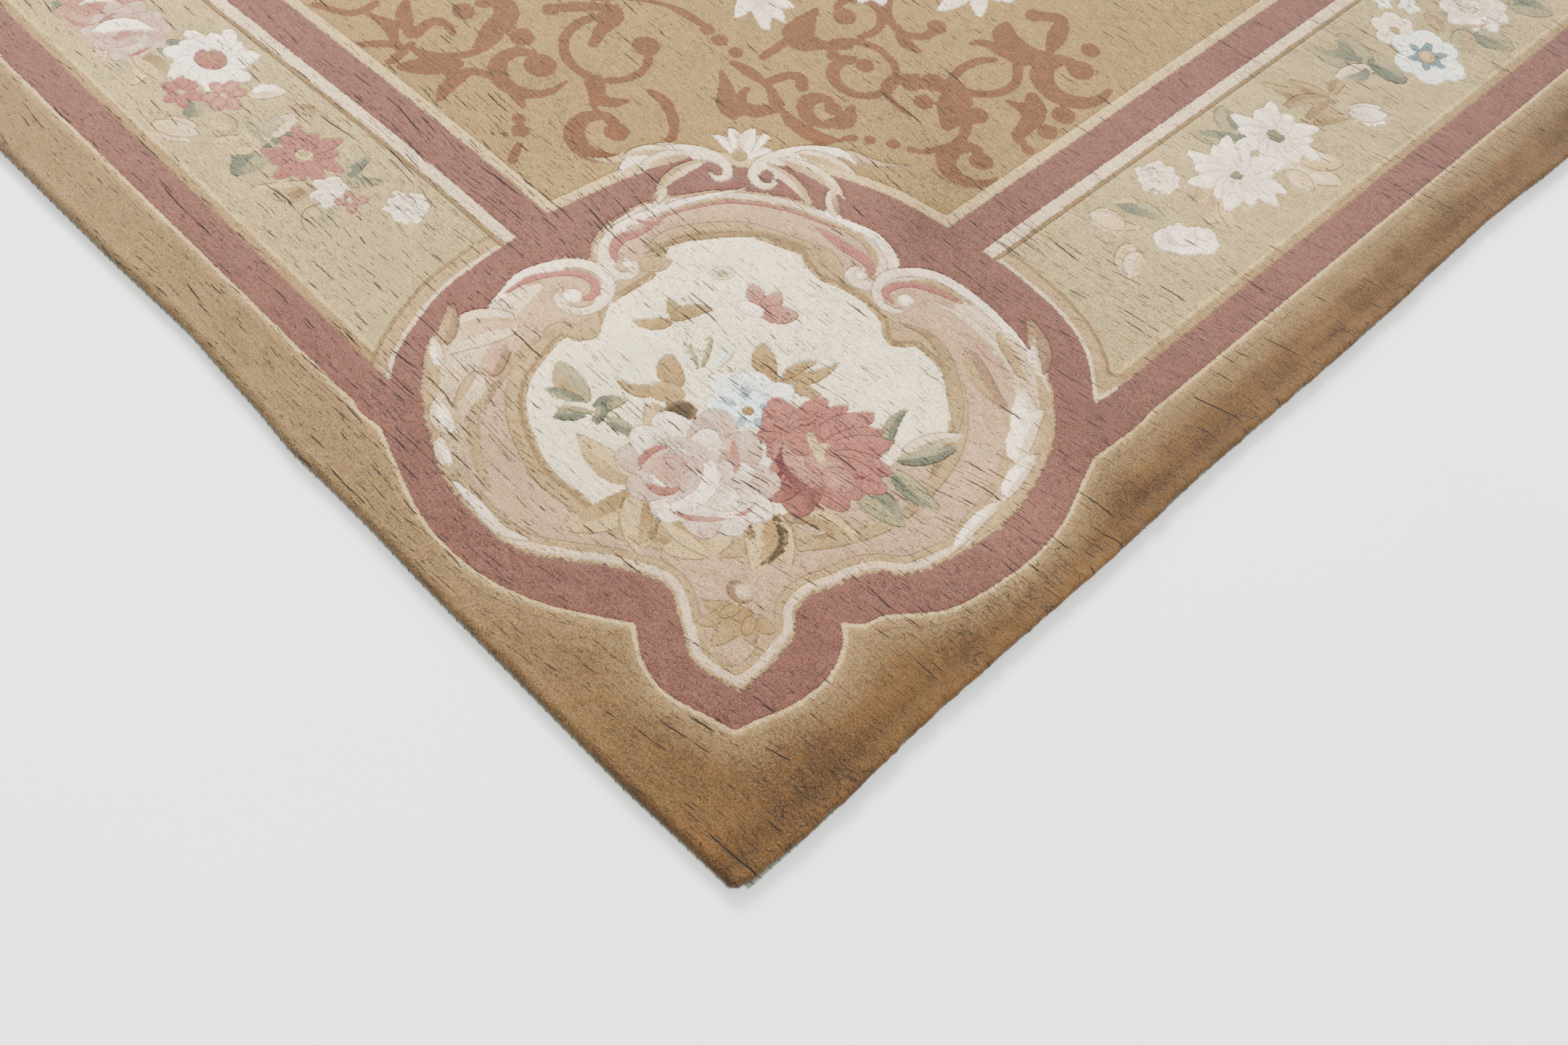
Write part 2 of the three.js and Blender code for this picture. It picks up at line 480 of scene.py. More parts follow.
def lay_bands(chart):
    """The plain bands, panels, lines and field, and the medallion's ring over them."""
    outer = everywhere(lambda p, q: np.minimum(
        np.maximum(off_band(p, OUTER_BAND), OUTER_ENDS[0] - q),
        np.maximum(off_band(q, OUTER_BAND), OUTER_ENDS[1] - p)))
    inner_long = everywhere(lambda p, q: np.maximum(
        off_band(p, INNER_LONG), INNER_ENDS[0] - q))
    inner_short = everywhere(lambda p, q: np.maximum(
        off_band(q + bow(p), INNER_SHORT), INNER_ENDS[1] - p))
    inner = inner_long.joined(inner_short)
    ring = outline(RING)
    panels = everywhere(lambda p, q: OUTER_BAND[1] - np.minimum(p, q))
    field = everywhere(lambda p, q: np.maximum(INNER_LONG[1] - p, INNER_SHORT[1] - q - bow(p)))
    frame_bands = outer.joined(ring)

    # The outer border's gold turns to painted shade towards the long edge and the corner, away from
    # the bands.
    def painted_border_shade(p, q):
        apart = frame_bands.measure(p, q)[0]
        return p * 0 - FAR, shaded_side(p, q) * np.clip((apart - 10) / 34, 0, 1)

    def lightening(p, q):
        apart = frame_bands.measure(p, q)[0]
        return apart - 15, np.clip((apart - 5) / 10, 0, 1)

    chart.lay(Shape(*WHOLE_CHART, painted_border_shade), "gold", "painted_shade_gold")
    chart.lay(Shape(*WHOLE_CHART, lightening), "honey", "gold", carve=0.25)
    chart.lay(frame_bands.grown(5), "cream", carve=0.5)
    chart.lay(panels, "honey")
    chart.lay(panels.grown(-10), "cream", carve=0.3)
    chart.lay(panels.grown(-15), "panel")
    chart.lay(ring.grown(21).within(panels), "tan", carve=0.4)
    chart.lay(ring.grown(17).within(panels), "straw")
    chart.lay(ring.grown(4.5).within(panels), "ivory")
    chart.lay(inner.grown(20).within(panels.grown(-60)), "tan", carve=0.7)
    chart.lay(inner.grown(14.5), "ivory")
    chart.lay(field, "field")
    lay_field(chart)
    edge = inner.joined(ring)
    chart.lay(edge.grown(CREAM_LINE).within(field), "cream", carve=0.4)
    chart.lay(outer.joined(edge), "madder", carve=0.3)


# Scrolls of the field, as a centre, first and last radius, start and sweep in degrees,
# widths along the stroke and the radius of the bulb that ends it.
FIELD_SCROLLS = [
    ((795, 600), 56, 40, 150, 275, (10, 10, 9, 8, 9), 14),
    ((707, 510), 43, 13, 20, -330, (3, 16, 20, 14, 9, 8), 12),
    ((830, 509), 45, 14, 25, -320, (4, 12, 18, 14, 9, 8), 16),
    ((605, 800), 52, 15, 180, -440, (9, 9, 8, 9, 13, 13, 9), 10),
    ((676, 866), 38, 12, -30, 290, (8, 9, 9, 8), 12),
    ((432, 800), 36, 12, 10, -320, (4, 15, 20, 15, 9), 12),
    ((452, 998), 48, 16, 25, -300, (6, 18, 24, 16, 10), 14),
    ((588, 728), 27, 10, -10, -300, (5, 14, 16, 10, 8), 9),
]

# Stems and leaves of the field, as rows of p, q and width.
FIELD_STROKES = [
    [(862, 622, 3), (851, 646, 13), (834, 640, 17), (826, 612, 12), (814, 590, 9)],
    [(846, 650, 6), (868, 622, 13), (885, 592, 10)],
    [(872, 640, 7), (846, 675, 6), (815, 700, 6), (786, 709, 10), (768, 711, 8)],
    [(700, 677, 4), (680, 665, 12), (655, 645, 20), (636, 637, 5)],
    [(618, 690, 8), (630, 665, 15), (650, 655, 16), (662, 680, 5)],
    [(655, 705, 9), (650, 730, 9), (640, 742, 10), (627, 732, 12)],
    [(702, 696, 6), (680, 701, 12), (650, 702, 8), (625, 690, 14)],
    [(722, 591, 8), (700, 592, 11), (675, 581, 10), (656, 560, 8), (652, 530, 5)],
    [(770, 552, 18), (752, 540, 14), (742, 528, 10)],
    [(726, 562, 4), (735, 545, 12), (750, 532, 8)],
    [(869, 434, 9), (862, 455, 9), (845, 468, 9), (815, 472, 11), (789, 466, 7)],
    [(748, 426, 7), (734, 404, 9)], [(912, 400, 8), (896, 425, 22), (884, 448, 20), (880, 455, 4)],
    [(862, 442, 12), (858, 418, 13), (846, 398, 4)],
    [(966, 384, 7), (945, 414, 9), (906, 438, 9), (885, 468, 8), (882, 500, 8), (890, 530, 7)],
    [(938, 532, 10), (924, 554, 16), (905, 542, 22), (896, 512, 18), (889, 485, 4)],
    [(992, 474, 5), (970, 452, 15), (942, 440, 9)],
    [(940, 444, 9), (947, 470, 10), (936, 482, 9), (919, 478, 7)],
    [(996, 424, 4), (970, 431, 14), (948, 421, 7)], [(932, 432, 8), (924, 398, 9)],
    [(1005, 442, 8), (1008, 410, 8), (1042, 388, 8)],
    [(706, 838, 4), (698, 808, 20), (684, 786, 30), (660, 800, 12), (640, 822, 8)],
    [(690, 775, 9), (687, 730, 8)],
    [(670, 922, 9), (650, 898, 9), (620, 889, 9), (601, 902, 9), (597, 922, 9)],
    [(630, 894, 6), (605, 880, 13), (584, 884, 4)],
    [(528, 868, 9), (536, 895, 9), (534, 925, 9), (524, 944, 7)],
    [(502, 962, 10), (484, 938, 9), (483, 912, 9), (496, 888, 9), (510, 878, 8)],
    [(554, 1002, 8), (542, 985, 24), (515, 980, 26), (496, 990, 20), (489, 1008, 5)],
    [(500, 966, 10), (530, 963, 15), (550, 955, 10), (559, 941, 4)],
    [(520, 875, 16), (500, 850, 32), (484, 818, 10)],
    [(482, 852, 12), (463, 822, 9), (462, 795, 9), (476, 764, 6)], [(536, 722, 8), (546, 704, 6)],
    [(457, 936, 10), (440, 918, 24), (430, 895, 16), (424, 872, 12), (408, 868, 8)],
    [(472, 904, 4), (452, 910, 10), (440, 905, 8)], [(572, 757, 5), (560, 732, 18), (570, 714, 8)],
    [(622, 690, 4), (592, 684, 14), (560, 690, 16), (544, 706, 4)],
    [(538, 1048, 14), (520, 1062, 12), (504, 1034, 18), (494, 1010, 8)],
    [(560, 850, 8), (575, 820, 7), (560, 800, 8), (520, 797, 4)],
]
FIELD_DOTS = [
    (757, 711, 9), (736, 710, 10), (711, 711, 9), (777, 450, 8), (762, 440, 10), (870, 535, 14),
    (939, 510, 13), (640, 797, 9), (601, 930, 12), (541, 858, 15), (475, 860, 13), (555, 836, 12),
    (527, 826, 12), (484, 760, 6), (503, 750, 8), (523, 734, 7), (415, 941, 14), (409, 906, 12),
    (404, 866, 8), (885, 590, 10), (465, 1050, 12), (545, 1040, 11),
]

# White lilies of the field, as a base and the tips of its petals.
FIELD_LILIES = [
    ((770, 802), [(712, 762), (752, 750), (712, 792), (722, 818), (790, 845)]),
    ((618, 1022), [(620, 950), (582, 984), (575, 1040), (640, 1070)]),
    ((700, 922), [(664, 906), (684, 886), (690, 960)]),
]

# How much broader the field's scrolls, their bulbs and its stems are laid than their tables
# say, and how broad a lily's petal is.
SCROLL_BREADTH, BULB_BREADTH, STEM_BREADTH = 1.25, 1.15, 1.3
LILY_PETAL = 22

# How the arabesque repeats over the rest of the field: steps in p and q.
FIELD_REPEATS = [(0, 0), (0, 620), (580, 40), (580, 660), (0, 1240), (580, 1280)]


def lay_field(chart):
    """The brown arabesque, in copies that cover the field, and the lilies over it."""
    for dp, dq in FIELD_REPEATS:
        for (p, q), radius, end, start, sweep, widths, bulb in FIELD_SCROLLS:
            place = (p + dp, q + dq)
            widths = [SCROLL_BREADTH * width for width in widths]
            chart.lay(scroll(place, radius, end, start, sweep, widths), "cocoa")
            chart.lay(disc(at_angle(place, end, start + sweep), BULB_BREADTH * bulb), "cocoa")
        for rows in FIELD_STROKES:
            moved = [(p + dp, q + dq, STEM_BREADTH * width) for p, q, width in rows]
            chart.lay(ribbon(moved), "cocoa")
        for p, q, radius in FIELD_DOTS:
            chart.lay(disc((p + dp, q + dq), radius), "cocoa")
    for base, tips in FIELD_LILIES:
        petals = [leaf(base, tip, LILY_PETAL) for tip in tips]
        chart.lay_all(petals, "moss", "white", carve=0.5, ease=0.5)


# The frame of the medallion

# Yarn, second yarn, carving and rows of p, q and width, laid in this order.
FRAME_STROKES = [
    # The first two broad strokes lighten the frame's sides: partly its pale yarn, partly painted
    # sheen of the leaning pile.
    ("ivory", "straw", 0.4, [
        (586, 310, 12), (582, 262, 28), (568, 206, 36), (538, 164, 32), (498, 130, 20),
        (460, 106, 12), (420, 96, 6)]),
    ("ivory", "straw", 0.4, [
        (300, 636, 14), (240, 634, 24), (192, 614, 30), (152, 578, 28), (122, 532, 20),
        (103, 480, 14), (95, 430, 6)]),
    ("straw", None, 0.3, [
        (590, 224, 3), (594, 194, 12), (573, 167, 14), (543, 139, 14), (506, 117, 13),
        (468, 99, 10), (436, 93, 3)]),
    ("straw", None, 0.3, [
        (190, 630, 3), (157, 608, 13), (131, 579, 14), (114, 542, 14), (102, 502, 13),
        (95, 466, 11), (98, 420, 4)]),
    ("straw", None, 0.4, [
        (522, 205, 3), (514, 180, 8), (500, 156, 10), (478, 138, 10), (450, 122, 8), (425, 112, 3)]),
    ("straw", None, 0.4, [
        (205, 574, 2), (175, 564, 5), (152, 548, 8), (136, 520, 8), (123, 490, 7), (115, 440, 6),
        (112, 400, 3)]),
    ("straw", None, 0.5, [(290, 215, 30), (255, 235, 40), (230, 262, 34), (215, 300, 40)]),
    ("blush", None, 0.0, [(212, 325, 40), (192, 372, 46), (186, 420, 44), (188, 455, 20)]),
    ("tan", "straw", 0.6, [
        (320, 569, 3), (290, 579, 10), (257, 568, 14), (214, 534, 16), (190, 508, 4)]),
    ("tan", None, 0.3, [(172, 345, 2), (198, 326, 6), (222, 306, 4)]),
    ("tan", None, 0.3, [
        (553, 425, 3), (548, 453, 7), (534, 486, 7), (500, 537, 7), (471, 557, 6), (445, 568, 3)]),
    ("ivory", None, 0.5, [(319, 617, 3), (290, 624, 9), (261, 626, 10), (211, 616, 4)]),
    ("petal", None, 0.4, [(275, 608, 3), (240, 610, 9), (200, 604, 4)]),
    ("straw", None, 0.5, [(547, 410, 12), (536, 424, 22), (530, 438, 8)]),
    ("straw", None, 0.5, [(448, 574, 8), (425, 572, 18), (400, 562, 8)]),
    ("straw", None, 0.5, [(522, 330, 8), (512, 312, 22), (524, 296, 14)]),
    ("umber", "straw", 0.3, [(500, 168, 2), (520, 205, 8), (534, 250, 7), (532, 285, 3)]),
    ("petal", None, 0.3, [(566, 214, 3), (576, 240, 12), (574, 268, 4)]),
    ("ivory", None, 0.5, [(560, 200, 3), (572, 216, 10), (580, 244, 9), (584, 268, 3)]),
    ("white", "ivory", 0.7, [(455, 94, 3), (425, 94, 11), (388, 92, 11), (362, 104, 4)]),
    ("white", "ivory", 0.8, [
        (555, 574, 2), (582, 504, 9), (595, 441, 12), (588, 404, 13), (566, 384, 13),
        (546, 386, 11), (540, 399, 9), (550, 409, 7), (561, 404, 4)]),
    ("white", "ivory", 0.8, [
        (500, 606, 2), (449, 626, 10), (419, 634, 13), (385, 624, 13), (370, 600, 12),
        (382, 574, 11), (400, 571, 9), (404, 585, 7), (392, 590, 4)]),
    ("white", "ivory", 0.8, [
        (596, 250, 2), (600, 276, 8), (607, 307, 12), (599, 340, 13), (586, 363, 13),
        (565, 374, 13), (543, 368, 13), (531, 348, 12), (533, 327, 11), (547, 314, 10),
        (564, 316, 8), (570, 328, 4)]),
    ("white", "ivory", 0.8, [
        (190, 634, 2), (224, 646, 9), (269, 653, 11), (309, 653, 12), (341, 646, 13),
        (362, 630, 13), (375, 606, 13), (370, 583, 12), (353, 571, 10), (336, 576, 8),
        (331, 588, 4)]),
    ("coral", None, 0.5, [
        (562, 396, 4), (575, 402, 9), (583, 420, 13), (578, 440, 9), (577, 460, 5), (578, 480, 4),
        (566, 517, 4), (549, 549, 5), (524, 573, 5), (494, 593, 5), (470, 603, 4), (447, 615, 1)]),
    ("coral", None, 0.2, [(595, 449, 1), (580, 459, 7), (570, 472, 1)]),
    ("coral", None, 0.5, [
        (471, 593, 2), (450, 596, 9), (430, 598, 13), (409, 601, 13), (392, 598, 9), (387, 584, 4)]),
    ("coral", None, 0.5, [
        (600, 280, 3), (600, 307, 8), (594, 325, 7), (581, 348, 8), (565, 359, 10), (550, 356, 9),
        (543, 344, 8), (549, 331, 3)]),
    ("coral", None, 0.5, [
        (299, 639, 3), (326, 631, 8), (349, 618, 8), (361, 601, 10), (361, 586, 9), (345, 581, 4)]),
]
FRAME_CURLS = [((340, 595), 9), ((393, 583), 7), ((556, 330), 10), ((553, 402), 6)]

# Leaves and feathers of the frame: base, tip, width, bend, blade yarn, half yarn and side,
# which is 0.5 where it is left out, as in every table of leaves.
FRAME_LEAVES = [
    ((568, 266), (602, 202), 26, -0.1, "ivory", "straw"),
    ((558, 262), (577, 180), 28, -0.1, "ivory", "blush", -0.5),
    ((586, 188), (624, 232), 17, -0.05, "umber", "straw"),
    ((527, 202), (545, 243), 18, 0.1, "umber", "petal"),
    ((568, 171), (602, 190), 13, 0.0, "ivory", "white"),
    ((541, 195), (520, 146), 23, 0.1, "straw", "ivory", 0.4),
    ((500, 128), (541, 146), 20, 0.1, "ivory", "white", -0.4),
    ((470, 103), (506, 119), 14, 0.1, "ivory", "white", -0.4),
    ((255, 600), (173, 571), 24, -0.1, "umber", "straw", -0.5),
    ((250, 640), (190, 610), 24, 0.1, "straw", "ivory"),
    ((150, 554), (187, 603), 27, -0.1, "ivory", "white", 0.4),
    ((127, 526), (153, 602), 27, 0.1, "ivory", "white", 0.4),
    ((107, 484), (121, 556), 18, 0.05, "ivory", "white", 0.4),
    ((98, 398), (106, 494), 13, 0.05, "ivory", "white", 0.4),
    ((184, 632), (246, 680), 22, -0.08, "umber", "straw"),
    ((182, 630), (222, 668), 9, 0.08, "ivory", "white"),
    ((464, 622), (500, 652), 14, 0.1, "ivory", "umber", -0.5),
    ((598, 480), (622, 512), 14, -0.1, "ivory", "umber"),
]

# The acanthus that crowns the medallion: yarns, carving and rows of p, q and width.
CROWN_STROKES = [
    ("straw", "ivory", 0.7, [
        (468, 743, 1), (490, 717, 8), (520, 700, 14), (545, 676, 19), (562, 645, 19),
        (568, 615, 14)]),
    ("white", "ivory", 0.7, [
        (505, 694, 2), (528, 694, 12), (548, 670, 22), (563, 640, 23), (570, 612, 16),
        (562, 592, 12), (546, 590, 10), (541, 602, 7), (551, 612, 4)]),
    ("straw", "ivory", 0.7, [
        (692, 470, 1), (672, 486, 10), (662, 516, 16), (648, 546, 19), (626, 568, 18),
        (604, 580, 13)]),
    ("white", "ivory", 0.7, [
        (650, 478, 2), (658, 500, 12), (650, 530, 20), (634, 558, 22), (612, 577, 17),
        (592, 580, 12), (580, 570, 10), (584, 558, 7), (596, 560, 4)]),
]
CROWN_LEAVES = [
    ((560, 652), (490, 682), 18, 0.12, "ivory", "straw", -0.5),
    ((566, 632), (478, 648), 19, 0.12, "ivory", "straw", -0.5),
    ((572, 614), (490, 610), 15, 0.1, "straw", "ivory", -0.5),
    ((640, 548), (668, 500), 16, -0.12, "ivory", "straw"),
    ((626, 560), (642, 498), 19, -0.12, "ivory", "straw"),
    ((610, 568), (606, 488), 15, -0.1, "straw", "ivory"),
    ((592, 602), (578, 636), 17, 0.1, "white", "straw"),
    ((592, 602), (634, 600), 17, -0.1, "white", "straw", -0.5),
    ((592, 604), (596, 650), 18, 0.05, "white", "straw"),
    ((594, 604), (632, 624), 18, -0.05, "white", "straw", -0.5),
    ((592, 602), (616, 646), 19, 0.0, "white", "ivory"),
]

# The palmette of the corner lobe.
LOBE_LEAVES = [
    ((186, 206), (213, 182), 16.8, 0.2), ((184, 206), (201, 160), 18, 0.1),
    ((168, 208), (146, 210), 15.6, -0.2), ((172, 206), (148, 184), 16.8, -0.1),
    ((178, 208), (172, 154), 21.6), ((186, 204), (190, 180), 12), ((170, 204), (160, 184), 12),
]


def lay_leaf(chart, base, tip, width, bend, blade, half, side=0.5):
    """A leaf or petal with one half in a second yarn: the left one where the side is
    positive."""
    chart.lay(leaf(base, tip, width, bend), blade, carve=0.9)
    chart.lay(leaf(base, tip, width, bend, side), half, blade, ease=2.5)


def lay_leaves(chart, table):
    """Leaves from a table of base, tip, width, bend, blade yarn, half yarn and side."""
    for row in table:
        lay_leaf(chart, *row)


def lay_strokes(chart, table):
    """Strokes from a table of yarn, second yarn, carving and rows of p, q and width."""
    for first, second, carve, rows in table:
        chart.lay(ribbon(rows), first, second, carve=carve)


def lay_medallion(chart):
    """The scrolled frame in the ring, the pale ground, the crown and the corner lobe."""
    inside = outline(INSIDE)
    ground = outline(GROUND)
    chart.lay(inside, "straw", carve=0.7)
    chart.lay(inside.grown(-3.5), "ivory", carve=0.3)
    chart.lay(inside.grown(-12), "straw", carve=0.2)
    chart.lay(inside.grown(-20), "blush", carve=0.6)
    chart.lay(ground.grown(20).within(inside.grown(-30)), "straw", carve=0.7)
    chart.lay(ground.grown(8), "tan")
    chart.lay(ground.grown(3), "straw")
    chart.lay(ground, "ground", carve=0.5)
    lay_strokes(chart, FRAME_STROKES)
    chart.lay_all(starmap(disc, FRAME_CURLS), "white", "ivory", carve=0.5, ease=3.0)
    lay_leaves(chart, FRAME_LEAVES)
    lay_strokes(chart, CROWN_STROKES)
    lay_leaves(chart, CROWN_LEAVES)
    chart.lay(disc((594, 602), 9), "tan", "straw", carve=0.6, ease=2.0)
    chart.lay_all(starmap(leaf, LOBE_LEAVES), "ochre", "straw", carve=0.6, ease=1.4)
    chart.lay(disc((197, 214), 13, 0.8), "umber", carve=0.9)
    chart.lay(disc((195, 217), 10, 0.8), "ivory", "straw", ease=3.0)


# Blooms

# Folds of a bloom: start and sweep in degrees, radius and width as shares of the bloom's,
# and which of its yarns.
ROSE_FOLDS = [
    (190, 150, 0.5, 0.2, "rim"), (10, 130, 0.42, 0.16, "body"), (100, 120, 0.24, 0.1, "fold"),
    (270, 110, 0.2, 0.1, "fold"), (40, 90, 0.68, 0.1, "fold"), (220, 80, 0.7, 0.1, "fold"),
]


# Daisy petals broader than this share of the radius are broadest at the tip.
BLUNT_PETAL = 0.45


def lay_daisy(chart, centre, radius, petals, turn, tip, root, heart, heart_yarn, width=0.36):
    """Pointed petals of uneven reach round a heart, each shaded from root to tip."""
    for k in range(petals):
        angle = turn + 360 * k / petals + 5 * math.sin(2.3 * k)
        reach = radius * (0.9 + 0.12 * math.cos(3.1 * k))
        ends = [at_angle(centre, heart * 0.4, angle), at_angle(centre, reach, angle)]
        if width > BLUNT_PETAL:
            chart.lay(leaf(*ends[::-1], radius * width, 0.05), tip, root, carve=0.5, ease=2.0)
        else:
            chart.lay(leaf(*ends, radius * width, 0.05), root, tip, carve=0.5, ease=0.6)
    chart.lay(disc(centre, heart, 0.85, 20), heart_yarn, carve=0.6)
    chart.lay(disc(at_angle(centre, heart * 0.2, 120), heart * 0.5), heart_yarn, "tan")


def lay_bloom(chart, centre, radius, petals, turn, tip, root, heart, heart_yarn, width):
    """Round petals round a heart, each lighter at its rim."""
    for k in range(petals):
        angle = turn + 360 * k / petals + 7 * math.sin(1.9 * k)
        size = radius * (0.44 + 0.05 * math.cos(2.7 * k))
        petal = disc(at_angle(centre, radius * 0.58, angle), size, width, angle)
        chart.lay(petal, root, tip, carve=0.5, ease=1.5)
    chart.lay(disc(centre, heart, 0.85, 20), heart_yarn, carve=0.5)


def lay_rose(chart, centre, radius, turn, rim, body, fold):
    """A full bloom: two rings of pointed petals, an off-centre cup and curled folds."""
    for count, far, width in ((10, 1.05, 0.62), (8, 0.76, 0.54)):
        for k in range(count):
            angle = turn + 360 * k / count + 60 * far
            tip = at_angle(centre, radius * far * (0.92 + 0.1 * math.cos(2.9 * k)), angle)
            petal = leaf(at_angle(centre, radius * 0.05, angle), tip, radius * width, 0.06)
            chart.lay(petal, body, rim, carve=0.5, ease=1.2)
    cup = at_angle(centre, radius * 0.14, turn + 200)
    chart.lay(disc(cup, radius * 0.32, 0.85, turn), body, rim, carve=0.5, ease=2.0)
    for start, sweep, size, broad, yarn_name in ROSE_FOLDS:
        chosen = {"rim": rim, "body": body, "fold": fold}[yarn_name]
        chart.lay(scroll(cup, radius * size, radius * size * 0.9, turn + start, sweep,
                         (1, radius * broad, radius * broad, 1)), chosen, carve=0.4)


# Leaves of the bouquet: base, tip, width, bend, blade yarn, half yarn and side.
BOUQUET_LEAVES = [
    ((343, 228), (424, 219), 32, 0.08, "cream", "straw"),
    ((338, 224), (353, 135), 34, 0.1, "cream", "ochre", -0.5),
    ((334, 226), (287, 172), 38, -0.05, "cream", "ochre"),
    ((256, 262), (277, 190), 34, 0.12, "cream", "straw", -0.5),
    ((300, 215), (236, 222), 26, 0.05, "cream", "ochre"),
    ((251, 300), (203, 238), 34, 0.05, "cream", "ochre"),
    ((236, 300), (184, 266), 30, -0.05, "cream", "ochre", -0.5),
    ((224, 318), (164, 342), 22, 0.08, "cream", "ochre", -0.5),
    ((222, 442), (242, 494), 14, 0.14, "sage", "moss"),
    ((206, 443), (182, 515), 18, 0.08, "ivory", "moss", -0.5),
    ((208, 436), (178, 498), 18, -0.06, "sage", "moss"),
    ((200, 426), (139, 428), 24, -0.08, "moss", "sage", -0.5),
    ((214, 388), (148, 386), 34, 0.0, "moss", "sage"),
    ((222, 443), (236, 408), 11, 0.1, "sage", "moss"),
    ((258, 262), (226, 258), 9, 0.3, "tan", "bark"),
    ((322, 224), (286, 176), 6, 0.1, "tan", "bark"),
    ((248, 300), (206, 244), 8, 0.3, "bark", "tan"),
    ((448, 250), (504, 264), 30, 0.05, "moss", "straw"),
    ((440, 246), (486, 232), 14, -0.05, "sage", "moss"),
    ((438, 244), (456, 214), 16, 0.0, "sage", "moss", -0.5),
    ((436, 250), (424, 284), 18, 0.1, "moss", "sage"),
    ((424, 250), (376, 262), 14, 0.05, "moss", "sage", -0.5),
    ((408, 300), (366, 262), 26, 0.1, "cream", "straw"),
    ((430, 251), (462, 224), 12, -0.1, "moss", "ground", -0.5),
    ((436, 262), (424, 234), 12, 0.1, "sage", "moss", -0.5),
    ((408, 366), (436, 410), 9, 0.0, "moss", "ground"),
    ((408, 362), (450, 382), 9, 0.0, "moss", "ground"),
    ((400, 372), (408, 420), 11, 0.0, "ground", "mist"),
]

# Plain leaves of the bouquet in tan, then of a coral bud: base, tip, width and bend.
BOUQUET_TAN = [
    ((470, 386), (495, 355), 15, 0.1), ((470, 388), (495, 404), 14, -0.1),
    ((472, 386), (455, 430), 17, 0.1), ((405, 332), (440, 356), 26, 0.1),
    ((416, 330), (455, 294), 15, 0.3), ((356, 414), (392, 440), 24, 0.1),
    ((350, 412), (326, 480), 15, -0.1), ((352, 408), (300, 434), 17, 0.1),
    ((346, 420), (340, 466), 12, 0.1),
]

CORAL_BUD = [
    ((418, 466), (457, 484), 22), ((418, 466), (430, 500), 20), ((418, 466), (396, 492), 24),
]

# Petals of the red rose, from tip to base, with their yarns; its bowl, folds and heart.
RED_PETALS = [
    ((336, 400), (262, 366), 50, "coral", "crimson"),
    ((324, 376), (262, 362), 40, "crimson", "coral"),
    ((306, 438), (268, 370), 42, "crimson", "coral"),
    ((284, 450), (266, 372), 34, "coral", "crimson"),
    ((259, 464), (260, 372), 38, "coral", "crimson"),
    ((238, 456), (254, 376), 30, "crimson", "coral"),
    ((222, 452), (250, 376), 34, "coral", "crimson"),
    ((198, 424), (250, 374), 36, "crimson", "coral"),
    ((184, 402), (256, 370), 38, "coral", "crimson"),
    ((196, 376), (256, 366), 34, "crimson", "coral"),
    ((196, 354), (260, 362), 40, "coral", "crimson"),
    ((222, 312), (266, 360), 44, "crimson", "wine"), ((254, 304), (270, 360), 40, "coral", "wine"),
    ((296, 326), (270, 366), 46, "crimson", "coral"),
    ((314, 352), (268, 366), 38, "coral", "crimson"),
]
RED_DISCS = [
    ((262, 368), 38, 0.7, 8, "petal", "crimson"), ((244, 378), 24, 0.6, 20, "petal", "coral"),
    ((284, 384), 22, 0.7, 130, "coral", "crimson"), ((226, 376), 18, 0.8, 20, "petal", "coral"),
]
RED_FOLDS = [
    [(291, 364, 2), (276, 346, 8), (253, 342, 8), (234, 348, 6), (215, 362, 2)],
    [(268, 342, 4), (264, 326, 6), (256, 316, 2)], [(236, 346, 3), (220, 338, 6), (208, 340, 2)],
    [(300, 388, 1), (290, 404, 4), (292, 424, 2)], [(262, 402, 1), (264, 424, 4), (260, 440, 1)],
    [(226, 392, 2), (212, 396, 4), (198, 402, 1)],
]
RED_HEART = [
    ((266, 384), (287, 396), 9), ((266, 384), (262, 400), 9), ((266, 384), (246, 378), 9),
]

# The pink rose: petals, cup, arcs as a scroll's values with a yarn, folds and the white tips.
PINK_PETALS = [
    ((388, 296), (322, 270), 46, "white", "shell"), ((356, 340), (318, 276), 50, "shell", "petal"),
    ((316, 344), (306, 280), 44, "shell", "petal"), ((266, 326), (304, 280), 46, "shell", "petal"),
    ((244, 296), (300, 276), 42, "white", "petal"), ((246, 262), (300, 268), 38, "shell", "white"),
    ((262, 236), (306, 262), 38, "petal", "white"), ((302, 220), (318, 262), 42, "white", "petal"),
    ((340, 218), (330, 258), 40, "shell", "petal"), ((378, 234), (336, 260), 38, "shell", "petal"),
    ((390, 264), (334, 264), 38, "white", "shell"), ((346, 318), (322, 272), 34, "white", "petal"),
    ((290, 316), (310, 276), 34, "white", "coral"), ((270, 280), (312, 268), 32, "white", "petal"),
]
PINK_CUP = [((338, 256), 30, 0.84, 20, "petal", "shell")]
PINK_ARCS = [
    ((336, 258), 40, 38, 300, 150, (2, 16, 18, 3), "white"),
    ((334, 260), 36, 34, 60, 110, (2, 14, 12, 2), "shell"),
    ((338, 256), 28, 26, 125, 110, (1, 8, 8, 2), "coral"),
    ((338, 256), 26, 22, 262, 90, (2, 11, 9, 1), "coral"),
    ((340, 258), 17, 13, 20, 150, (1, 6, 6, 1), "petal"),
    ((336, 252), 14, 12, 210, 120, (1, 5, 5, 1), "white"),
    ((320, 280), 34, 32, 20, 90, (1, 6, 6, 1), "petal"),
]
PINK_FOLDS = [
    [(306, 226, 2), (288, 233, 7), (272, 248, 6), (262, 262, 2)],
    [(329, 336, 2), (316, 322, 8), (302, 312, 9), (294, 303, 2)],
    [(262, 268, 2), (256, 280, 6), (258, 292, 2)],
]
WHITE_TIPS = [
    ((302, 316), (322, 346), 20), ((298, 318), (302, 352), 19), ((294, 314), (284, 344), 18),
    ((282, 300), (252, 302), 18), ((280, 290), (256, 284), 18), ((288, 306), (268, 322), 16),
]

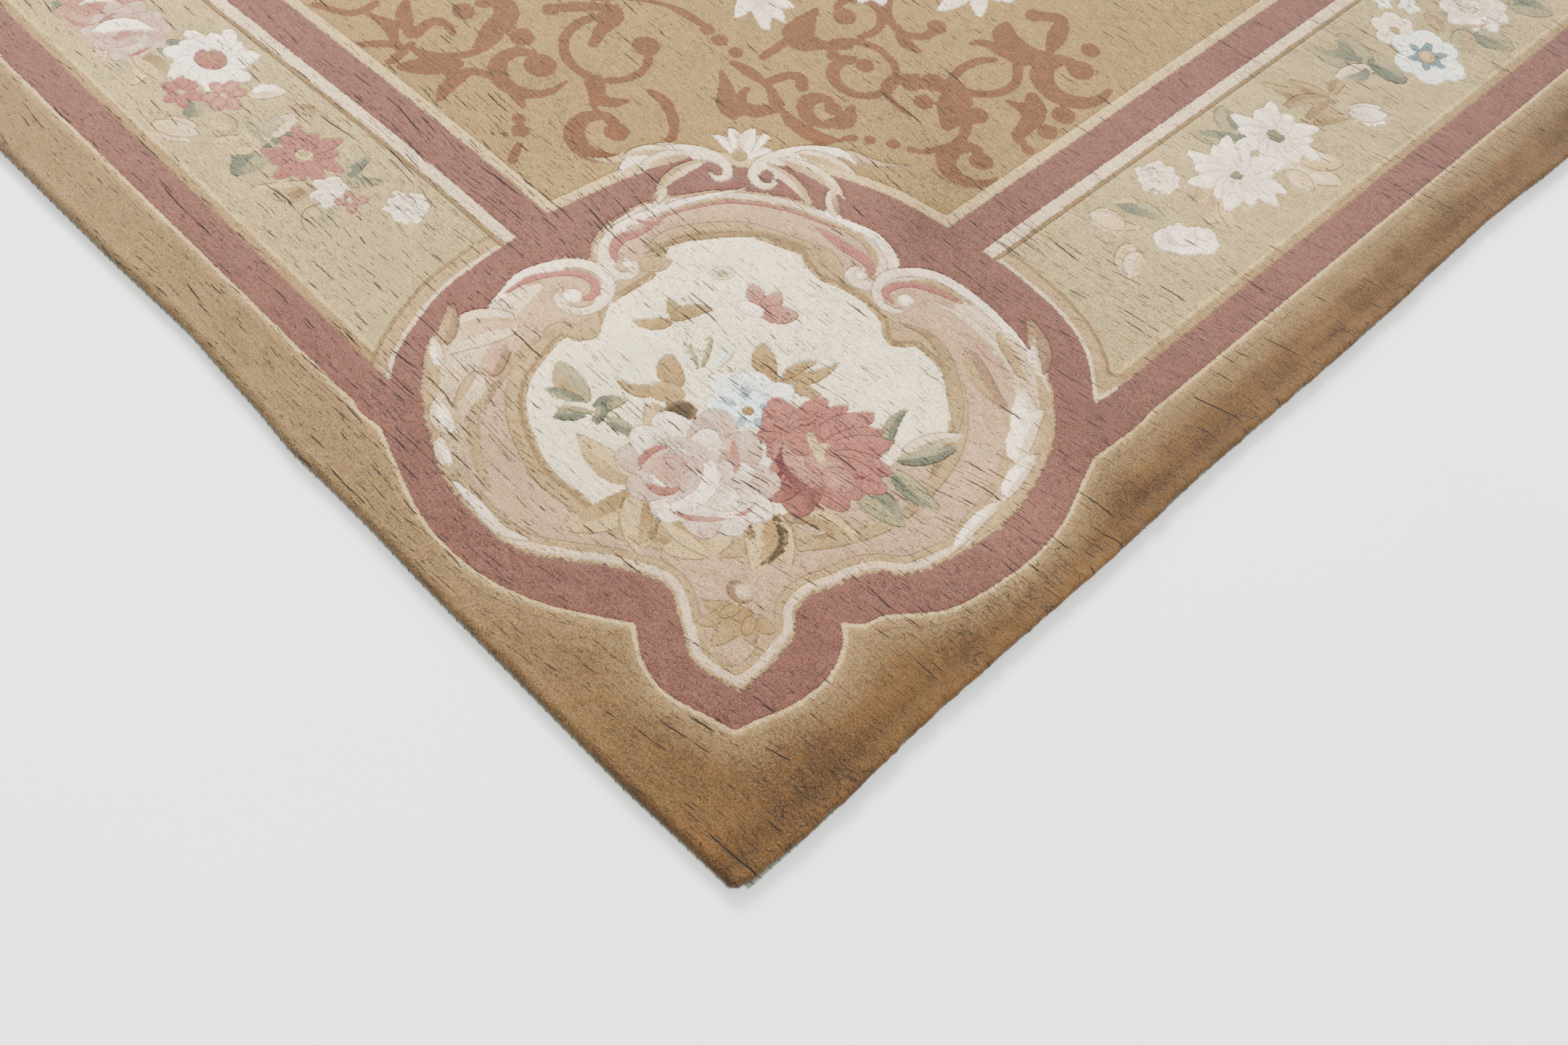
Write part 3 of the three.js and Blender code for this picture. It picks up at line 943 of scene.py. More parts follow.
# The small blue bloom: round petals, and marks from base to tip.
BLUE_DISCS = [
    ((374, 372), 22, 0.8, 0, "mist", "white"), ((362, 394), 20, 0.8, 40, "mist", "white"),
    ((336, 404), 18, 0.8, 90, "white", "mist"), ((360, 346), 19, 0.8, 140, "mist", "white"),
    ((318, 388), 18, 0.8, 120, "white", "mist"), ((342, 370), 26, 0.9, 0, "mist", "mist"),
]
BLUE_MARKS = [
    ((368, 390), (352, 374), 11), ((330, 394), (338, 376), 9), ((312, 364), (330, 366), 13),
    ((332, 346), (338, 358), 9), ((370, 356), (352, 363), 9),
]


def lay_discs(chart, rows):
    """Round petals from a table of centre, radius, stretch, turn and two yarns."""
    for centre, radius, stretch, turn, first, second in rows:
        chart.lay(disc(centre, radius, stretch, turn), first, second, carve=0.45, ease=2.0)


def lay_petals(chart, rows, pointed):
    """Petals from a table of tip, base, width and the yarns at each end: pointed ones are
    broadest near the base and round ones near the tip."""
    for tip, base, width, first, second in rows:
        if pointed:
            chart.lay(leaf(base, tip, width, 0.05), second, first, carve=0.6, ease=1.3)
        else:
            chart.lay(leaf(tip, base, width, 0.05), first, second, carve=0.6, ease=0.8)


def lay_bouquet(chart):
    """The bouquet on the medallion's ground: leaves first, then the blooms over them."""
    lay_leaves(chart, BOUQUET_LEAVES)
    chart.lay_all(starmap(leaf, BOUQUET_TAN), "ochre", "straw", carve=0.6, ease=1.5)
    chart.lay(disc((484, 470), 13, 0.7, 60), "moss", "ground", carve=0.7, ease=2.0)
    chart.lay(disc((382, 314), 17, 0.8, 60), "bark", "tan", carve=0.3, ease=5.0)
    chart.lay(disc((407, 320), 18, 0.7, 40), "ochre", "straw", carve=0.4)
    chart.lay_all(starmap(leaf, CORAL_BUD), "coral", "petal", carve=0.6)
    chart.lay(disc((432, 460), 15, 0.6, 20), "white", "ground", carve=0.6, ease=2.0)
    lay_discs(chart, BLUE_DISCS)
    chart.lay_all(starmap(leaf, BLUE_MARKS), "mist", "slate", ease=0.5)
    chart.lay(disc((341, 366), 6), "ochre", carve=0.4)
    lay_petals(chart, RED_PETALS, True)
    lay_discs(chart, RED_DISCS)
    chart.lay_all(map(ribbon, RED_FOLDS), "wine", "crimson", ease=3.0)
    chart.lay_all(starmap(leaf, RED_HEART), "cream", carve=0.3)
    chart.lay_all(starmap(leaf, WHITE_TIPS), "shell", "white", carve=0.8)
    lay_petals(chart, PINK_PETALS, False)
    lay_discs(chart, PINK_CUP)
    for *arc, yarn_name in PINK_ARCS:
        chart.lay(scroll(*arc), yarn_name, carve=0.4)
    chart.lay_all(map(ribbon, PINK_FOLDS), "coral", "petal")


# Leaves of the two flower borders: base, tip, width, bend, blade yarn, half yarn and side.
# The short end's come first, then the long side's.
SPRAY_LEAVES = [
    ((1062, 238), (1090, 222), 27, 0.1, "sage", "moss"),
    ((1060, 244), (1078, 264), 22, 0.0, "sage", "moss", -0.5),
    ((1003, 205), (979, 176), 22, 0.1, "sage", "moss"),
    ((1000, 208), (975, 212), 16, 0.1, "moss", "sage"),
    ((1092, 182), (1052, 164), 29, 0.1, "cream", "moss", -0.5),
    ((1086, 190), (1040, 190), 27, 0.15, "cream", "tan"),
    ((970, 250), (952, 282), 22, 0.1, "ivory", "white"),
    ((905, 216), (889, 168), 34, 0.05, "sage", "moss"),
    ((908, 216), (943, 181), 27, 0.1, "cream", "straw"),
    ((905, 214), (918, 176), 22, -0.1, "cream", "moss", -0.5),
    ((908, 218), (942, 222), 22, 0.1, "moss", "cream"),
    ((908, 226), (918, 268), 32, 0.05, "ivory", "moss"),
    ((905, 224), (908, 262), 12, -0.2, "sage", "sage"),
    ((944, 208), (968, 208), 24, 0.2, "straw", "cream"),
    ((930, 272), (902, 274), 15, 0.4, "straw", "tan"),
    ((836, 222), (838, 180), 11, 0.3, "tan", "straw"),
    ((838, 216), (864, 172), 17, 0.1, "cream", "straw"),
    ((816, 250), (826, 296), 13, 0.05, "sage", "moss"),
    ((816, 251), (788, 286), 12, -0.05, "moss", "sage"),
    ((816, 251), (796, 262), 11, 0.0, "moss", "moss"),
    ((800, 206), (774, 184), 32, 0.0, "panel", "moss"),
    ((762, 262), (712, 250), 17, 0.15, "panel", "cream"),
    ((1176, 186), (1204, 166), 27, 0.1, "sage", "moss"),
    ((1180, 240), (1218, 262), 27, 0.1, "sage", "moss"),
    ((1240, 240), (1200, 262), 24, 0.1, "sage", "moss"),
    ((1262, 190), (1230, 160), 24, 0.1, "sage", "moss"),
    ((1330, 250), (1290, 282), 27, 0.1, "sage", "moss"),
    ((1320, 180), (1282, 150), 24, -0.1, "moss", "cream"),
    ((297, 884), (237, 910), 27, 0.05, "moss", "sage", -0.5),
    ((296, 880), (270, 905), 15, 0.2, "cream", "moss"),
    ((284, 840), (246, 878), 24, 0.12, "cream", "straw"),
    ((240, 848), (226, 808), 24, 0.05, "cream", "ivory"),
    ((226, 846), (206, 812), 22, -0.1, "ivory", "cream"),
    ((230, 990), (205, 944), 27, 0.1, "cream", "straw", -0.5),
    ((214, 984), (178, 958), 27, 0.1, "cream", "straw"),
    ((250, 984), (238, 948), 15, 0.3, "straw", "cream"),
    ((202, 1092), (146, 1118), 39, 0.08, "ivory", "cream"),
    ((196, 1114), (164, 1148), 29, 0.0, "cream", "ivory"),
    ((196, 1082), (160, 1082), 24, 0.1, "cream", "ivory", -0.5),
    ((278, 1084), (308, 1108), 29, 0.05, "moss", "sage", -0.5),
    ((256, 1084), (308, 1039), 27, 0.05, "moss", "sage", -0.5),
    ((230, 1160), (198, 1226), 17, 0.05, "straw", "tan", -0.5),
    ((234, 1224), (236, 1172), 22, 0.1, "tan", "straw"),
    ((240, 1220), (308, 1178), 20, 0.1, "straw", "tan"),
    ((238, 1226), (292, 1204), 17, 0.0, "straw", "tan"),
    ((238, 1224), (262, 1160), 17, -0.1, "tan", "straw"),
    ((238, 1226), (244, 1280), 16, 0.1, "straw", "tan"),
    ((243, 1313), (296, 1330), 37, 0.06, "moss", "sage"),
    ((246, 1312), (298, 1276), 32, 0.06, "moss", "sage", -0.5),
    ((240, 1318), (196, 1322), 34, 0.1, "sage", "moss"),
    ((240, 1308), (254, 1258), 29, 0.05, "ivory", "sage"),
    ((232, 1440), (226, 1490), 20, 0.1, "straw", "moss"),
    ((250, 1452), (215, 1438), 20, 0.1, "straw", "tan"),
    ((200, 1470), (144, 1490), 41, 0.05, "moss", "sage", -0.5),
    ((202, 1462), (186, 1430), 32, 0.1, "moss", "straw"),
    ((190, 1560), (148, 1590), 34, 0.1, "moss", "sage"),
    ((250, 1600), (292, 1640), 32, 0.1, "sage", "moss"),
    ((200, 1620), (168, 1668), 29, 0.1, "sage", "moss"),
    ((235, 1700), (276, 1744), 32, 0.1, "sage", "moss"),
    ((210, 1720), (172, 1752), 29, -0.1, "moss", "moss"),
]

# Daisies: centre, radius, petals, turn, tip, root, heart radius, heart yarn, petal width.
SPRAY_DAISIES = [
    ((240, 1119), 58, 12, 10, "white", "shell", 11, "sage", 0.42),
    ((232, 1030), 62, 13, 24, "white", "shell", 9, "sage", 0.4),
    ((868, 240), 47, 11, 20, "coral", "crimson", 10, "cream", 0.35),
    ((1038, 249), 48, 14, 15, "white", "mist", 18, "coral", 0.46),
    ((1290, 226), 34, 9, 15, "coral", "petal", 8, "cream", 0.44),
    ((215, 1670), 40, 11, 0, "white", "ivory", 9, "sage", 0.36),
    ((250, 1770), 34, 9, 10, "coral", "petal", 8, "cream", 0.44),
]

# Blooms of round petals, in the same columns; the last one is the petals' stretch.
SPRAY_BLOOMS = [
    ((1016, 197), 23, 6, 30, "coral", "coral", 5, "cream", 0.7),
    ((986, 228), 24, 6, 0, "coral", "petal", 5, "cream", 0.7),
    ((812, 230), 22, 6, 10, "white", "shell", 6, "white", 0.8),
    ((789, 238), 17, 4, 60, "coral", "petal", 4, "cream", 0.7),
    ((258, 1393), 31, 6, 20, "white", "ivory", 8, "straw", 0.9),
    ((205, 1386), 47, 6, 8, "mist", "white", 14, "white", 0.95),
    ((1330, 215), 24, 7, 0, "white", "mist", 7, "straw", 0.8),
    ((298, 1424), 13, 5, 0, "white", "mist", 3, "straw", 0.9),
    ((273, 1446), 15, 5, 20, "white", "mist", 3, "straw", 0.9),
    ((1238, 212), 30, 6, 0, "white", "mist", 8, "straw", 0.8),
]
SPRAY_ROSES = [
    ((749, 277), 24, 30, "white", "shell", "coral"),
    ((1172, 206), 48, 40, "petal", "coral", "crimson"),
    ((1124, 206), 47, 100, "shell", "coral", "crimson"),
    ((284, 953), 27, 60, "white", "shell", "petal"),
    ((1371, 225), 52, 20, "white", "petal", "coral"),
    ((222, 1515), 50, 60, "white", "shell", "petal"),
    ((215, 1829), 54, 20, "white", "petal", "coral"),
]

# Buds: base, petal length, way in degrees, petal width and the two yarns.
SPRAY_BUDS = [
    ((206, 1224), 46, 50, 26, "shell", "white"), ((996, 148), 50, 32, 22, "cream", "ivory"),
    ((1128, 166), 34, 30, 20, "cream", "ivory"), ((262, 862), 40, 200, 24, "cream", "ivory"),
]
BLUE_RAYS = ((205, 1386), 12, 27)

# A bloom seen from the side in the long border: overlapping lobes as places and radii; and
# the lit rims of the darkest blooms, as rows of p, q and width.
SIDE_BLOOM = [
    ((218, 888), 17), ((204, 900), 19), ((192, 916), 18), ((212, 906), 19), ((198, 926), 13),
]
LIT_RIMS = [
    [(1142, 174, 2), (1140, 194, 18), (1130, 214, 18), (1110, 228, 3)],
    [(1186, 190, 2), (1182, 210, 10), (1170, 222, 2)],
]


def lay_sprays(chart):
    """The flowers of the long-side and short-end borders."""
    lay_leaves(chart, SPRAY_LEAVES)
    for base, length, way, width, root, end in SPRAY_BUDS:
        for spread in (-16, 16, 0):
            tip = at_angle(base, length * (1 - abs(spread) * 0.006), way + spread)
            chart.lay(leaf(base, tip, width), root, end, carve=0.8)
    for row in SPRAY_ROSES:
        lay_rose(chart, *row)
    chart.lay_all(map(ribbon, LIT_RIMS), "white", carve=0.5)
    lobes = list(starmap(disc, SIDE_BLOOM))
    chart.lay(reduce(Shape.joined, lobes), "shell", "white", carve=0.6)
    inner_lobes = [lobe.grown(-3) for lobe in lobes[3:]]
    chart.lay_all(inner_lobes, "white", "shell", carve=0.35, ease=3.0)
    for row in SPRAY_DAISIES:
        lay_daisy(chart, *row)
    for row in SPRAY_BLOOMS:
        lay_bloom(chart, *row)
    centre, near, far = BLUE_RAYS
    chart.lay(disc(centre, near + 5), "slate", carve=0.3)
    ways = range(0, 360, 60)
    rays = [leaf(at_angle(centre, near, way), at_angle(centre, far, way), 11) for way in ways]
    chart.lay_all(rays, "slate")
    chart.lay(disc(centre, near), "cream", "tan", carve=0.6, ease=4.0)


# The shell at the middle of each edge, in the outer border, as rows of p, q and width
# for the short end. The long edge's is the same, turned.
MID_STROKES = [
    ("straw", "ivory", 0.5, [(1150, 76, 2), (1180, 66, 8), (1220, 54, 14), (1262, 50, 12)]),
    ("ivory", "white", 0.5, [
        (1166, 84, 3), (1196, 74, 12), (1240, 58, 18), (1285, 52, 18), (1318, 62, 14),
        (1322, 76, 9), (1308, 76, 7)]),
]
MID_TIPS = [(1357, 28), (1336, 34), (1318, 46)]


def lay_mid_shells(chart):
    """A pair of scrolls and a shell at the middle of each edge of the rug."""
    shift = MID_ALONG - MID_ACROSS
    turned = [(*yarns, [(q, p + shift, width) for p, q, width in rows])
              for *yarns, rows in MID_STROKES]
    lay_strokes(chart, MID_STROKES + turned)
    for p, q in MID_TIPS:
        tips = [leaf((MID_ACROSS, 84), (p, q), 18), leaf((84, MID_ALONG), (q, p + shift), 18)]
        chart.lay_all(tips, "straw", "white", carve=0.5)


def draw_chart(across, along):
    """The whole quarter's design on cells between the given places."""
    chart = Chart(across, along, palette(), "gold")
    lay_bands(chart)
    lay_medallion(chart)
    lay_bouquet(chart)
    lay_sprays(chart)
    lay_mid_shells(chart)
    return chart


# Surfaces

LATTICE = 256


def value_noise(x, y, scale, seed):
    """Smooth noise from -1 to 1: random values on a square lattice, eased between."""
    rng = np.random.default_rng(seed)
    table = rng.uniform(-1, 1, (LATTICE + 1, LATTICE + 1))
    u, v = x / scale, y / scale
    i, j = np.floor(u).astype(int), np.floor(v).astype(int)
    s, t = u - i, v - j
    s, t = s * s * (3 - 2 * s), t * t * (3 - 2 * t)
    i, j = i % LATTICE, j % LATTICE
    low = table[i, j] * (1 - s) + table[i + 1, j] * s
    high = table[i, j + 1] * (1 - s) + table[i + 1, j + 1] * s
    return low * (1 - t) + high * t


def grid_faces(rows, columns):
    """The quads of a grid of points, as four arrays side by side, anticlockwise."""
    index = np.arange(rows * columns).reshape(rows, columns)
    quads = [index[:-1, :-1], index[1:, :-1], index[1:, 1:], index[:-1, 1:]]
    return np.stack(quads, -1).reshape(-1, 4)


def make_mesh(name, points, faces):
    """A mesh object from arrays of points and quads."""
    mesh = bpy.data.meshes.new(name)
    mesh.vertices.add(len(points))
    mesh.vertices.foreach_set("co", np.ascontiguousarray(points, np.float32).ravel())
    mesh.loops.add(faces.size)
    mesh.loops.foreach_set("vertex_index", np.ascontiguousarray(faces, np.int32).ravel())
    mesh.polygons.add(len(faces))
    mesh.polygons.foreach_set("loop_start", np.arange(0, faces.size, 4, dtype=np.int32))
    mesh.polygons.foreach_set("use_smooth", np.ones(len(faces), bool))
    mesh.update(calc_edges=True)
    mesh.validate()
    piece = bpy.data.objects.new(name, mesh)
    bpy.context.scene.collection.objects.link(piece)
    return piece


def add_uv(piece, faces, uv):
    """Gives a piece its bake map, from a place for each point."""
    layer = piece.data.uv_layers.new(name="OFBake")
    layer.data.foreach_set("uv", np.ascontiguousarray(uv[faces.ravel()], np.float32).ravel())


def add_layer(piece, name, kind, domain, values):
    """Gives a piece an attribute, from its values in the mesh's own order."""
    layer = piece.data.attributes.new(name, kind, domain)
    flat = np.ascontiguousarray(values, np.float32).ravel()
    layer.data.foreach_set("color" if kind == "FLOAT_COLOR" else "value", flat)


def bell(places, middle, width):
    """A bell of height 1 round a place."""
    return np.exp(-((places - middle) / width) ** 2)


def edge_lines():
    """The rug's outline from the frame: for each edge, places along it and across it,
    read at the height where the solid reaches furthest."""
    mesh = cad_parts["rug_body"].data
    points = np.zeros(len(mesh.vertices) * 3)
    mesh.vertices.foreach_get("co", points)
    points = np.unique(np.round(points.reshape(-1, 3), 6), axis=0)
    reach = np.abs(points[:, 0]).max()
    level = points[np.abs(points[:, 0]) > reach - 1e-5][0, 2]
    ring = points[np.abs(points[:, 2] - level) < 1e-5]
    lines = {}
    for name, (axis, sign) in EDGES.items():
        limit, span = HALVES[axis], HALVES[1 - axis] - CORNER_REACH
        near = sign * ring[:, axis] > limit - DRIFT_LIMIT
        side = ring[near & (np.abs(ring[:, 1 - axis]) < span)]
        side = side[np.argsort(side[:, 1 - axis])]
        lines[name] = (side[:, 1 - axis], limit - sign * side[:, axis])
    return lines


# How the pile rounds over at the rim: distance run over the pile from the shoulder,
# reach outwards and height, as shares of the shoulder, the shoulder and the pile's top.
RIM_PROFILE = [
    (0.0, 0.0, 1.0), (0.36, 0.36, 0.995), (0.62, 0.6, 0.975), (0.84, 0.8, 0.92), (1.04, 0.94, 0.81),
    (1.24, 1.0, 0.62), (1.46, 1.0, 0.42), (1.64, 0.88, 0.27), (1.9, 0.52, 0.235),
]
CORNER_POWER = 3.2

# How far by the tip the long edge's pile is drawn in, and over what length.
TIP_LENGTH, TIP_DRAWN = 0.045, 0.005

# The most that an edge draws in, and how far inside it the pile follows.
DRIFT_LIMIT, DRIFT_FADE = 0.04, 0.07


def wrap(across, along, shoulder, lines, side_x, side_y):
    """Points of a quarter from its grid of distances over the surface. Past the shoulder a
    point follows the rim's profile; in the corner, both ways at once, its way out is shared
    by the power mean, so that the rim turns in a rounded square. By the corner the long
    edge's pile is drawn in and bares the binding."""
    p, q = np.meshgrid(across, along, indexing="ij")
    run_p, run_q = np.maximum(shoulder - p, 0), np.maximum(shoulder - q, 0)
    run = np.maximum(run_p, run_q)
    table = np.array(RIM_PROFILE) * [shoulder, shoulder, PILE_TOP]
    out = np.interp(run, table[:, 0], table[:, 1])
    height = np.interp(run, table[:, 0], table[:, 2])
    mean = (run_p ** CORNER_POWER + run_q ** CORNER_POWER) ** (1 / CORNER_POWER)
    mean = np.maximum(mean, 1e-9)
    bared = TIP_DRAWN * bell(q, 0, TIP_LENGTH) * np.clip(run_p / shoulder, 0, 1)
    inset_p = np.maximum(p, shoulder) - out * run_p / mean + bared
    inset_q = np.maximum(q, shoulder) - out * run_q / mean
    x, y = side_x * (HALF_WIDTH - inset_p), side_y * (HALF_LENGTH - inset_q)
    fade = np.clip(1 - (p - shoulder) / DRIFT_FADE, 0, 1) ** 2
    x = x - side_x * np.interp(y, *lines["right" if side_x > 0 else "left"]) * fade
    fade = np.clip(1 - (q - shoulder) / DRIFT_FADE, 0, 1) ** 2
    y = y - side_y * np.interp(x, *lines["front" if side_y < 0 else "back"]) * fade
    return x, y, height, run


def spaced(stops):
    """Places from the first stop to the last, evenly within each stretch at its step."""
    parts = []
    for (start, step), (end, _) in zip(stops[:-1], stops[1:]):
        count = max(1, round((end - start) / step))
        parts.append(np.linspace(start, end, count, endpoint=False))
    return np.concatenate(parts + [[stops[-1][0]]])


# The chart's cells, in millimetres: the fine step, and where each coarser step begins with
# its size.
FINE_STEP = 4.3
P_COARSE, Q_COARSE = (726, 6.9), (752, 6.1)


def pile_places(sizes):
    """Where the chart's lines lie: fine over the medallion, coarser over the field."""
    shoulder = sizes.shoulder / MM
    rim = shoulder * (1 - np.array([row[0] for row in RIM_PROFILE[:0:-1]]))
    across = spaced([(shoulder, FINE_STEP), P_COARSE, (HALF_WIDTH / MM, 1)])
    along = spaced([(shoulder, FINE_STEP), Q_COARSE, (HALF_LENGTH / MM, 1)])
    return np.concatenate([rim, across]), np.concatenate([rim, along])


QUARTERS = {"pile_front_right": (1, -1), "pile_back_right": (1, 1),
            "pile_back_left": (-1, 1), "pile_front_left": (-1, -1)}

# The crease beside the long edges: its place and width, and how much painted shade it takes.
CREASE_PLACE, CREASE_WIDTH, CREASE_SHADE = 0.022, 0.011, 0.2

# The streaks inside the long edges: their place and width, and how strong they are.
STREAK_PLACE, STREAK_WIDTH, STREAK_SHADE = 0.045, 0.03, 0.2

# The walls of the ends and the long edges: where each begins, how soon it is full, and how much
# the ends' walls are darkened, partly for their fibres' own colour and partly as painted shade;
# and the painted highlight on the ridge over the ends' walls.
END_WALL_TOP, END_WALL_FADE, WALL_SHADE = 0.0075, 0.005, 0.34
LONG_WALL_TOP, LONG_WALL_FADE = 0.010, 0.008
RIDGE_PLACE, RIDGE_WIDTH, RIDGE_LIGHT = 0.0115, 0.0035, 0.16

# Painted light and shade of the leaning pile: the depth of its broad drift, and spots of painted
# sheen and shade as x, y, radius and strength.
PAINTED_DRIFT_DEPTH = 0.1
PAINTED_LIGHT_SPOTS = [
    (0.80, -1.50, 0.09, 0.2), (0.80, -1.63, 0.08, 0.2), (0.72, -1.38, 0.12, 0.1),
    (0.88, -1.33, 0.07, 0.1), (1.33, -1.78, 0.2, -0.26), (0.96, -1.14, 0.045, -0.22),
    (0.80, -1.20, 0.10, 0.08), (0.93, -1.05, 0.12, -0.1), (0.3, -1.2, 0.4, 0.06),
    (0.35, -1.75, 0.3, 0.12), (1.3, 0.0, 0.75, -0.2), (1.32, -1.2, 0.1, -0.12),
    (1.32, -1.34, 0.07, 0.24), (0.86, -1.7, 0.05, -0.08), (0.78, -1.15, 0.1, 0.08),
    (1.18, -1.3, 0.07, 0.1), (0.9, -1.18, 0.05, 0.14), (1.19, -0.85, 0.2, 0.1),
    (1.06, -1.33, 0.08, 0.06),
]


def painted_pile_light(x, y, across, along, crease):
    """How light each point is painted: a broad drift of painted light and shade, painted shade
    in the crease, the streaks inside the long edges, the ends' walls darker, partly their
    fibres' own colour and partly painted shade, under a painted highlight on the ridge, the
    long edges' walls lighter, and the spots of painted sheen and shade."""
    painted_light = PAINTED_DRIFT_DEPTH * (0.6 * value_noise(x, y, 0.42, 21) + 0.4 * value_noise(x, y, 0.15, 22))
    painted_light = painted_light - CREASE_SHADE * crease
    streaks = value_noise(x * 0, y, 0.07, 8) + 0.8 * value_noise(x * 2, y, 0.03, 9) - 0.3
    painted_light = painted_light + STREAK_SHADE * streaks * bell(across, STREAK_PLACE, STREAK_WIDTH)
    end_wall = np.clip((END_WALL_TOP - along) / END_WALL_FADE, 0, 1)
    long_wall = np.clip((LONG_WALL_TOP - across) / LONG_WALL_FADE, 0, 1)
    ridge = RIDGE_LIGHT * bell(along, RIDGE_PLACE, RIDGE_WIDTH)
    painted_light = painted_light + (ridge - WALL_SHADE * end_wall) * (1 - long_wall)
    painted_light = painted_light + long_wall * (0.12 + 0.2 * value_noise(x, y, 0.018, 10))
    for place_x, place_y, radius, strength in PAINTED_LIGHT_SPOTS:
        spread = (x - place_x) ** 2 + (y - place_y) ** 2
        painted_light = painted_light + strength * np.exp(-spread / radius ** 2)
    return painted_light


def make_pile(name, chart, sizes, lines):
    """One quarter of the pile: the grid wrapped over the rim, lowered in the grooves,
    rippled along the folds and roughened at the long edge, with the painted light and shade
    of its points."""
    side_x, side_y = QUARTERS[name]
    across = (chart.across - DESIGN_SHIFT[0]) * MM
    along = (chart.along - DESIGN_SHIFT[1]) * MM
    x, y, z, run = wrap(across, along, sizes.shoulder, lines, side_x, side_y)
    folds = value_noise(x * 0.35, y, 0.085, 5) + 0.6 * value_noise(x, y, 0.23, 6)
    calm = np.clip((z - 0.6 * PILE_TOP) / (0.4 * PILE_TOP), 0, 1)
    crease = bell(across[:, None], CREASE_PLACE, CREASE_WIDTH)
    crease = crease * (0.75 + 0.25 * value_noise(x * 0, y, 0.05, 7))
    z = z + calm * (sizes.ripple * 0.6 * (folds - 1.6) - sizes.carving * chart.relief)
    z = z - sizes.crease * crease * calm
    painted_light = painted_pile_light(x, y, across[:, None], along[None, :], crease)
    rough = np.clip(run / sizes.shoulder, 0, 1) * np.clip(3 - 1.6 * run / sizes.shoulder, 0, 1)
    from_long = np.clip((HALF_LENGTH - np.abs(y)) / 0.02, 0, 1)
    amount = sizes.tuft * rough * (0.25 + 0.75 * from_long)
    lumps = value_noise(x, y, 0.0065, 11) + 0.7 * value_noise(x, y + 0.3, 0.017, 12)
    x = x + side_x * amount * (0.2 + 0.55 * lumps)
    z = z + amount * 0.4 * value_noise(x + 0.7, y, 0.008, 13)
    points = np.stack([x, y, z], -1).reshape(-1, 3)
    order = slice(None) if side_x * side_y > 0 else slice(None, None, -1)
    faces = grid_faces(*x.shape)[:, order]
    piece = make_mesh(name, points, faces)
    add_layer(piece, "painted_light", "FLOAT", "POINT", painted_light)
    cells = (len(faces), 4, -1)
    opaque = np.ones(chart.gap.shape)
    for label, kind, parts in (("yarn_in", "FLOAT_COLOR", (chart.inner, chart.groove)),
                               ("yarn_out", "FLOAT_COLOR", (chart.outer, opaque)),
                               ("yarn_gap", "FLOAT", (chart.gap,))):
        values = np.concatenate([part.reshape(cells) for part in parts], 2)
        add_layer(piece, label, kind, "CORNER", values[:, order])
    span = np.array([np.ptp(chart.across), np.ptp(chart.along)])
    grid_p, grid_q = np.meshgrid(chart.across, chart.along, indexing="ij")
    place = np.stack([grid_p - chart.across[0], grid_q - chart.along[0]], -1).reshape(-1, 2)
    add_uv(piece, faces, place / span * 0.996 + 0.002)
    return piece


# Materials

class Wire:
    """A socket of a material's nodes. Sums and products of wires add Math nodes."""

    def __init__(self, maker, socket):
        self.maker = maker
        self.socket = socket

    def __add__(self, other):
        return self.maker.maths("ADD", self, other)

    def __sub__(self, other):
        return self.maker.maths("SUBTRACT", self, other)

    def __rsub__(self, other):
        return self.maker.maths("SUBTRACT", other, self)

    def __mul__(self, other):
        return self.maker.maths("MULTIPLY", self, other)

    __radd__ = __add__
    __rmul__ = __mul__


